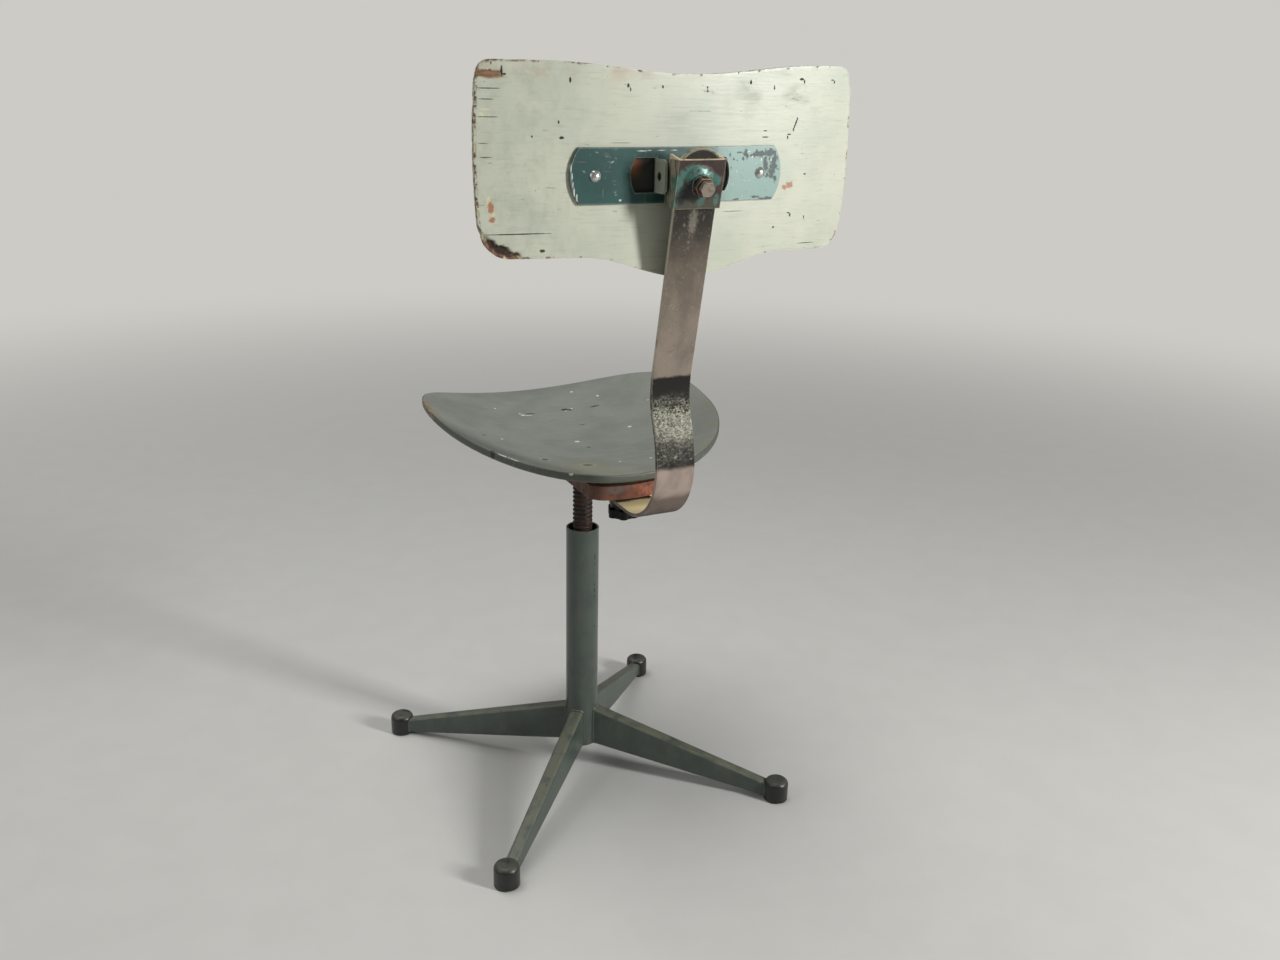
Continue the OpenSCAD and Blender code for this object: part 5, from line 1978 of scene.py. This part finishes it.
@dataclass
class Backrest:
    """The pressed pivot plate, its rivets and the moulded plywood backrest."""

    width: float = 395.0
    up: float = 99.0
    down: float = 75.0
    top_dip: float = 9.5
    bottom_drop: float = 21.5
    bottom_skew: float = 2.5
    shift: float = 10.0
    bow: float = 6.0
    corner_up: float = 13.0
    corner_down: float = 24.0
    thickness: float = 9.5
    rim_round: float = 2.2
    rear_r: float = 1500.0
    rear_y: float = 226.088
    pin_z: float = 770.957
    # Shares of the board: where it is widest, and how wide the top's dip and bottom's drop are
    widest: float = 0.2
    dip_reach: float = 0.375
    drop_reach: float = 0.28
    # The straight parts of the top and the bottom edge end this far before the round corners
    top_end: float = 5.0
    bottom_end: float = 3.0
    # A strip of veneer is lost on the chair's left, from this far out and between these heights
    strip_x: float = 171.0
    strip_z: Flat = (854.6, 861.2)
    strip_fade: float = 2.0
    # The lower left corner is broken beyond this place and near the rim, down into the plies.
    # The break's edge starts at a height, rises to the side and goes over this far
    break_x: float = 150.0
    break_z: float = 721.0
    break_rim: float = 17.0
    break_edge_z: float = 698.0
    break_rise: float = 0.55
    break_fade: float = 1.8
    # Distances from the rim where the hollow begins and is full
    hollow_rim: Flat = (2.2, 3.4)
    veneer: float = 1.1
    hollow: float = 1.9
    rim_wear: float = 4.0

    def half_width(self, v: float) -> float:
        """Half the board's width at a height over the rivets."""
        return self.width / 2 - self.bow * (v / self.up - self.widest) ** 2

    def swell(self, u: float, reach: float) -> float:
        """A soft hump from 0 to 1 about the shifted middle."""
        return math.cos(math.radians(min(90.0, abs(u + self.shift) * 90 / reach))) ** 2

    def top(self, u: float) -> float:
        """Height of the top edge."""
        return self.up - self.top_dip * self.swell(u, self.dip_reach * self.width)

    def bottom_line(self, u: float) -> float:
        """Height of the line through the lower corners, which is higher on the chair's left."""
        return -self.down + self.bottom_skew * u / self.half_width(-self.down)

    def bottom(self, u: float) -> float:
        """Height of the bottom edge."""
        drop = self.bottom_drop * self.swell(u, self.drop_reach * self.width)
        return self.bottom_line(u) - drop

    def outline(self, gap: float = 1.9) -> list[Flat]:
        """The board's outline as (x, height), evenly stepped.

        Args:
            gap: Distance between points in mm.

        Returns:
            The points, counterclockwise from the lower right.
        """
        parts, side_parts = 60, 20
        low_r, high_r = self.corner_down, self.corner_up
        low_reach = 0.5 * self.width - low_r - self.bottom_end
        high_reach = 0.5 * self.width - high_r - self.top_end
        rise = self.up + self.down - low_r - high_r
        heights = [-self.down + low_r + rise * k / side_parts for k in range(1, side_parts)]
        across = range(-parts, parts + 1)
        bottom = [low_reach * k / parts for k in across]
        top = [high_reach * k / parts for k in reversed(across)]
        return evenly(
            [(u, self.bottom(u)) for u in bottom] + self.arc(1, -1, low_r)
            + [(self.half_width(v), v) for v in heights] + self.arc(1, 1, high_r)
            + [(u, self.top(u)) for u in top] + self.arc(-1, 1, high_r)
            + [(-self.half_width(v), v) for v in reversed(heights)] + self.arc(-1, -1, low_r),
            gap,
        )

    def arc(self, side: int, end: int, radius: float) -> list[Flat]:
        """Points of one round corner, counterclockwise.

        Args:
            side: 1 for the chair's left, -1 for its right.
            end: 1 for the upper corners, -1 for the lower.
            radius: The corner's radius.

        Returns:
            The points.
        """
        corner_u = side * self.half_width(-self.down)
        level = self.up if end > 0 else self.bottom_line(corner_u)
        u = side * (self.half_width(level) - radius)
        v = level - end * radius
        start = {(1, -1): -90, (1, 1): 0, (-1, 1): 90, (-1, -1): 180}[(side, end)]
        parts = 12
        angles = [math.radians(start + 90 / parts * k) for k in range(1, parts)]
        return [(u + radius * math.cos(a), v + radius * math.sin(a)) for a in angles]

    def pressed(self, u: float, v: float, depth: float) -> Point:
        """Bends a point of the flat blank to the curved board.

        Args:
            u: Place to the side on the blank.
            v: Height over the rivets on the blank.
            depth: How deep the point lies under the rear face.

        Returns:
            Its place on the chair.
        """
        lean = math.asin(u / self.rear_r)
        r = self.rear_r - depth
        return r * math.sin(lean), self.rear_y - self.rear_r + r * math.cos(lean), self.pin_z + v

    def build(self) -> None:
        """Builds the board with its damage and dresses the plate and rivets."""
        strips = (2.6, 1.2, 1.2, 1.2, 1.2, 1.2, 1.4, 1.4)
        rings = (
            0.985, 0.97, 0.955, 0.94, 0.92, 0.9, 0.87, 0.83, 0.78, 0.72, 0.65, 0.57, 0.48, 0.38,
            0.28, 0.18, 0.09,
        )
        board = PlyBoard(
            self.outline(), (0.0, 0.0), self.thickness, self.rim_round, strips, rings,
            self.pressed,
        ).build("backrest_board")
        self.damaged(board)
        handed_in(board, Body.BACKREST, BACK_PAINT, ["backrest_shell"], smooth=50.0)
        reworked("pivot_plate", Made.PRESSED, Body.BACKREST, TEAL, 0.6, segments=3, smooth=30.0)
        reworked("backrest_rivets", Made.HEADED, Body.BACKREST, RIVET, radius=0)

    def damaged(self, board: bpy.types.Object) -> None:
        """Breaks veneer out of the board where it is lost, and stores how much.

        Args:
            board: The pressed board.
        """
        mesh = board.data
        rear_half, centre_z = 4.0, self.pin_z + 8.0
        rim, depth, bare, hollow = (
            mesh.attributes[name].data for name in ("rim", "depth", "bare", "hollow")
        )
        for index, vertex in enumerate(mesh.vertices):
            x, y, z = vertex.co / MM
            behind = depth[index].value < rear_half
            lost, sunk, drawn_in = self.loss(x, z, rim[index].value, behind)
            bare[index].value, hollow[index].value = lost, sunk
            inward = Vector((-x, 0, centre_z - z)).normalized()
            deep = y - self.veneer * lost * behind - self.hollow * sunk * behind
            vertex.co = Vector((x, deep, z)) * MM
            vertex.co += inward * drawn_in * MM
        mesh.update()

    def loss(self, x: float, z: float, rim: float, behind: bool) -> tuple[float, float, float]:
        """How much of the board is lost at a point.

        Args:
            x: Place to the side.
            z: Height.
            rim: Distance from the rim.
            behind: True on the rear half of the thickness.

        Returns:
            Lost veneer from 0 to 1, hollow from 0 to 1, and how far the rim is drawn in, in mm.
        """
        rough, fine = uneven(x, z, 0.21, 3.0), uneven(x, z, 0.6, 7.0)
        lost = sunk = drawn_in = 0.0
        if behind and self.strip_z[0] < z + 0.8 * rough < self.strip_z[1]:
            lost = ramp(x, self.strip_x, self.strip_x + self.strip_fade)
        in_corner = x > self.break_x and z < self.break_z
        if behind and in_corner and rim < self.break_rim + 4.0 * rough:
            edge_z = self.break_edge_z + self.break_rise * (x - self.break_x) + 5.0 * rough
            broken = ramp(edge_z - z, 0.0, self.break_fade)
            sunk = broken * ramp(rim - 2.5 * fine, *self.hollow_rim)
            lost = max(lost, broken)
        if rim < self.rim_wear:
            # The left end is worn most
            share = 1.0 if x > self.break_x else 0.35
            bitten = max(0.0, 2.6 * uneven(x, z, 0.09, 11.0) - 0.3 + 0.5 * fine)
            drawn_in = share * bitten * (1 - rim / self.rim_wear)
        return lost, sunk, drawn_in


def evenly(points: Sequence[Flat], gap: float) -> list[Flat]:
    """Steps a closed line evenly.

    Args:
        points: Its corners.
        gap: Wanted distance between the new points.

    Returns:
        The new points.
    """
    closed = list(points) + [points[0]]
    lengths = [math.dist(a, b) for a, b in zip(closed, closed[1:])]
    count = round(sum(lengths) / gap)
    step = sum(lengths) / count
    made: list[Flat] = []
    walked, index = 0.0, 0
    for number in range(count):
        wanted = number * step
        while walked + lengths[index] < wanted:
            walked += lengths[index]
            index += 1
        share = (wanted - walked) / lengths[index]
        (u0, v0), (u1, v1) = closed[index], closed[index + 1]
        made.append((u0 + (u1 - u0) * share, v0 + (v1 - v0) * share))
    return made


# Stage


@dataclass(frozen=True)
class Lamp:
    """A soft box: where it hangs and points in metres, its width and height, and its watts."""

    name: str
    place: Point
    target: Point
    sides: Flat
    power: float

    def hang(self) -> None:
        """Hangs the lamp."""
        data = bpy.data.lights.new(self.name, "AREA")
        data.shape = "RECTANGLE"
        data.size, data.size_y = self.sides
        data.energy = self.power
        lamp = bpy.data.objects.new(self.name, data)
        bpy.context.scene.collection.objects.link(lamp)
        lamp.location = self.place
        aim = Vector(self.target) - Vector(self.place)
        lamp.rotation_euler = aim.to_track_quat("-Z", "Y").to_euler()


@dataclass
class Studio:
    """Pale floor, soft lights, and the camera at the photo's point of view."""

    eye: Point = (0.5400, 1.2485, 0.8695)
    yaw: float = 153.71
    pitch: float = -19.25
    roll: float = -1.26
    focal_px: float = 1195.1
    frame_w: float = 1280.0
    sensor: float = 36.0
    backdrop: str = "#cccbc6"
    floor_r: float = 30.0
    # Distances in metres between which the floor fades into the backdrop
    fade: Flat = (0.9, 3.6)
    sky: float = 0.12
    lamps: tuple[Lamp, ...] = (
        Lamp("key", (-1.52, 2.1, 1.3), (0.0, 0.2, 0.75), (0.34, 0.8), 61.0),
        Lamp("top", (0.45, -0.35, 2.6), (0.05, 0.0, 0.3), (1.5, 1.5), 27.0),
        Lamp("front", (0.6, -2.2, 2.0), (0.0, 0.0, 0.4), (2.2, 2.2), 8.0),
        Lamp("side", (2.3, 0.2, 1.5), (0.0, 0.1, 0.45), (1.6, 1.6), 11.0),
    )

    def build(self) -> None:
        """Sets up the stage."""
        self.camera()
        self.floor()
        self.world()
        for lamp in self.lamps:
            lamp.hang()
        bpy.context.scene.view_settings.view_transform = "Standard"

    def camera(self) -> None:
        """Places the camera."""
        data = bpy.data.cameras.new("camera")
        data.sensor_width = self.sensor
        data.lens = self.sensor * self.focal_px / self.frame_w
        camera = bpy.data.objects.new("camera", data)
        bpy.context.scene.collection.objects.link(camera)
        turn = (
            Matrix.Rotation(math.radians(self.yaw), 3, "Z")
            @ Matrix.Rotation(math.radians(self.pitch), 3, "X")
            @ Matrix.Rotation(math.radians(self.roll), 3, "Y")
        )
        right, ahead, up = turn.col
        basis = Matrix((right, up, -ahead)).transposed().to_4x4()
        camera.matrix_world = Matrix.Translation(self.eye) @ basis
        bpy.context.scene.camera = camera

    def floor(self) -> None:
        """Lays the floor, which fades into the backdrop far from the chair."""
        lay_down_tools()
        bpy.ops.mesh.primitive_circle_add(vertices=96, radius=self.floor_r, fill_type="NGON")
        floor = started("studio_floor")
        recipe = Recipe("matt_painted_floor")
        mottled = recipe.patches(0.3, 0.7, 60.0, detail=3.0)
        recipe.colour(recipe.layers(self.backdrop, [(mottled, "#c7c6c1", 0.5)]))
        recipe.constant(Roughness=0.85)
        away = recipe.node("ShaderNodeVectorMath", {"operation": "LENGTH"}, {0: recipe.place})
        fade = recipe.node(
            "ShaderNodeMapRange",
            {"interpolation_type": "SMOOTHSTEP", 1: self.fade[0], 2: self.fade[1]},
            {0: away.outputs["Value"]},
        ).outputs[0]
        seen = recipe.node("ShaderNodeLightPath").outputs["Is Camera Ray"]
        glow = recipe.node("ShaderNodeEmission", {"Color": linear(self.backdrop), "Strength": 1.0})
        mix = recipe.node(
            "ShaderNodeMixShader",
            links={0: recipe.joined([fade, seen]), 1: recipe.shader.outputs[0], 2: glow.outputs[0]},
        )
        recipe.tree.links.new(mix.outputs[0], recipe.output.inputs["Surface"])
        floor.data.materials.append(recipe.material)

    def world(self) -> None:
        """Gives an even sky that the camera sees in the backdrop's colour."""
        world = bpy.data.worlds.new("studio")
        world.use_nodes = True
        bpy.context.scene.world = world
        tree = world.node_tree
        tree.nodes.clear()
        sky, wall = (
            add_node(tree, "ShaderNodeBackground", {"Color": linear(colour), "Strength": strength})
            for colour, strength in (("#f4f5f7", self.sky), (self.backdrop, 1.0))
        )
        seen = add_node(tree, "ShaderNodeLightPath").outputs["Is Camera Ray"]
        mix = add_node(
            tree, "ShaderNodeMixShader", links={0: seen, 1: sky.outputs[0], 2: wall.outputs[0]}
        )
        add_node(tree, "ShaderNodeOutputWorld", links={"Surface": mix.outputs[0]})


def main() -> None:
    """Builds the chair and its stage."""
    logging.basicConfig(level=logging.INFO, format="%(message)s")
    for assembly in (Studio(), Base(), Spindle(), Seat(), BackBar(), Clamp(), Backrest()):
        assembly.build()
        LOG.info("%s: done", type(assembly).__name__)


if __name__ == "__main__":
    main()
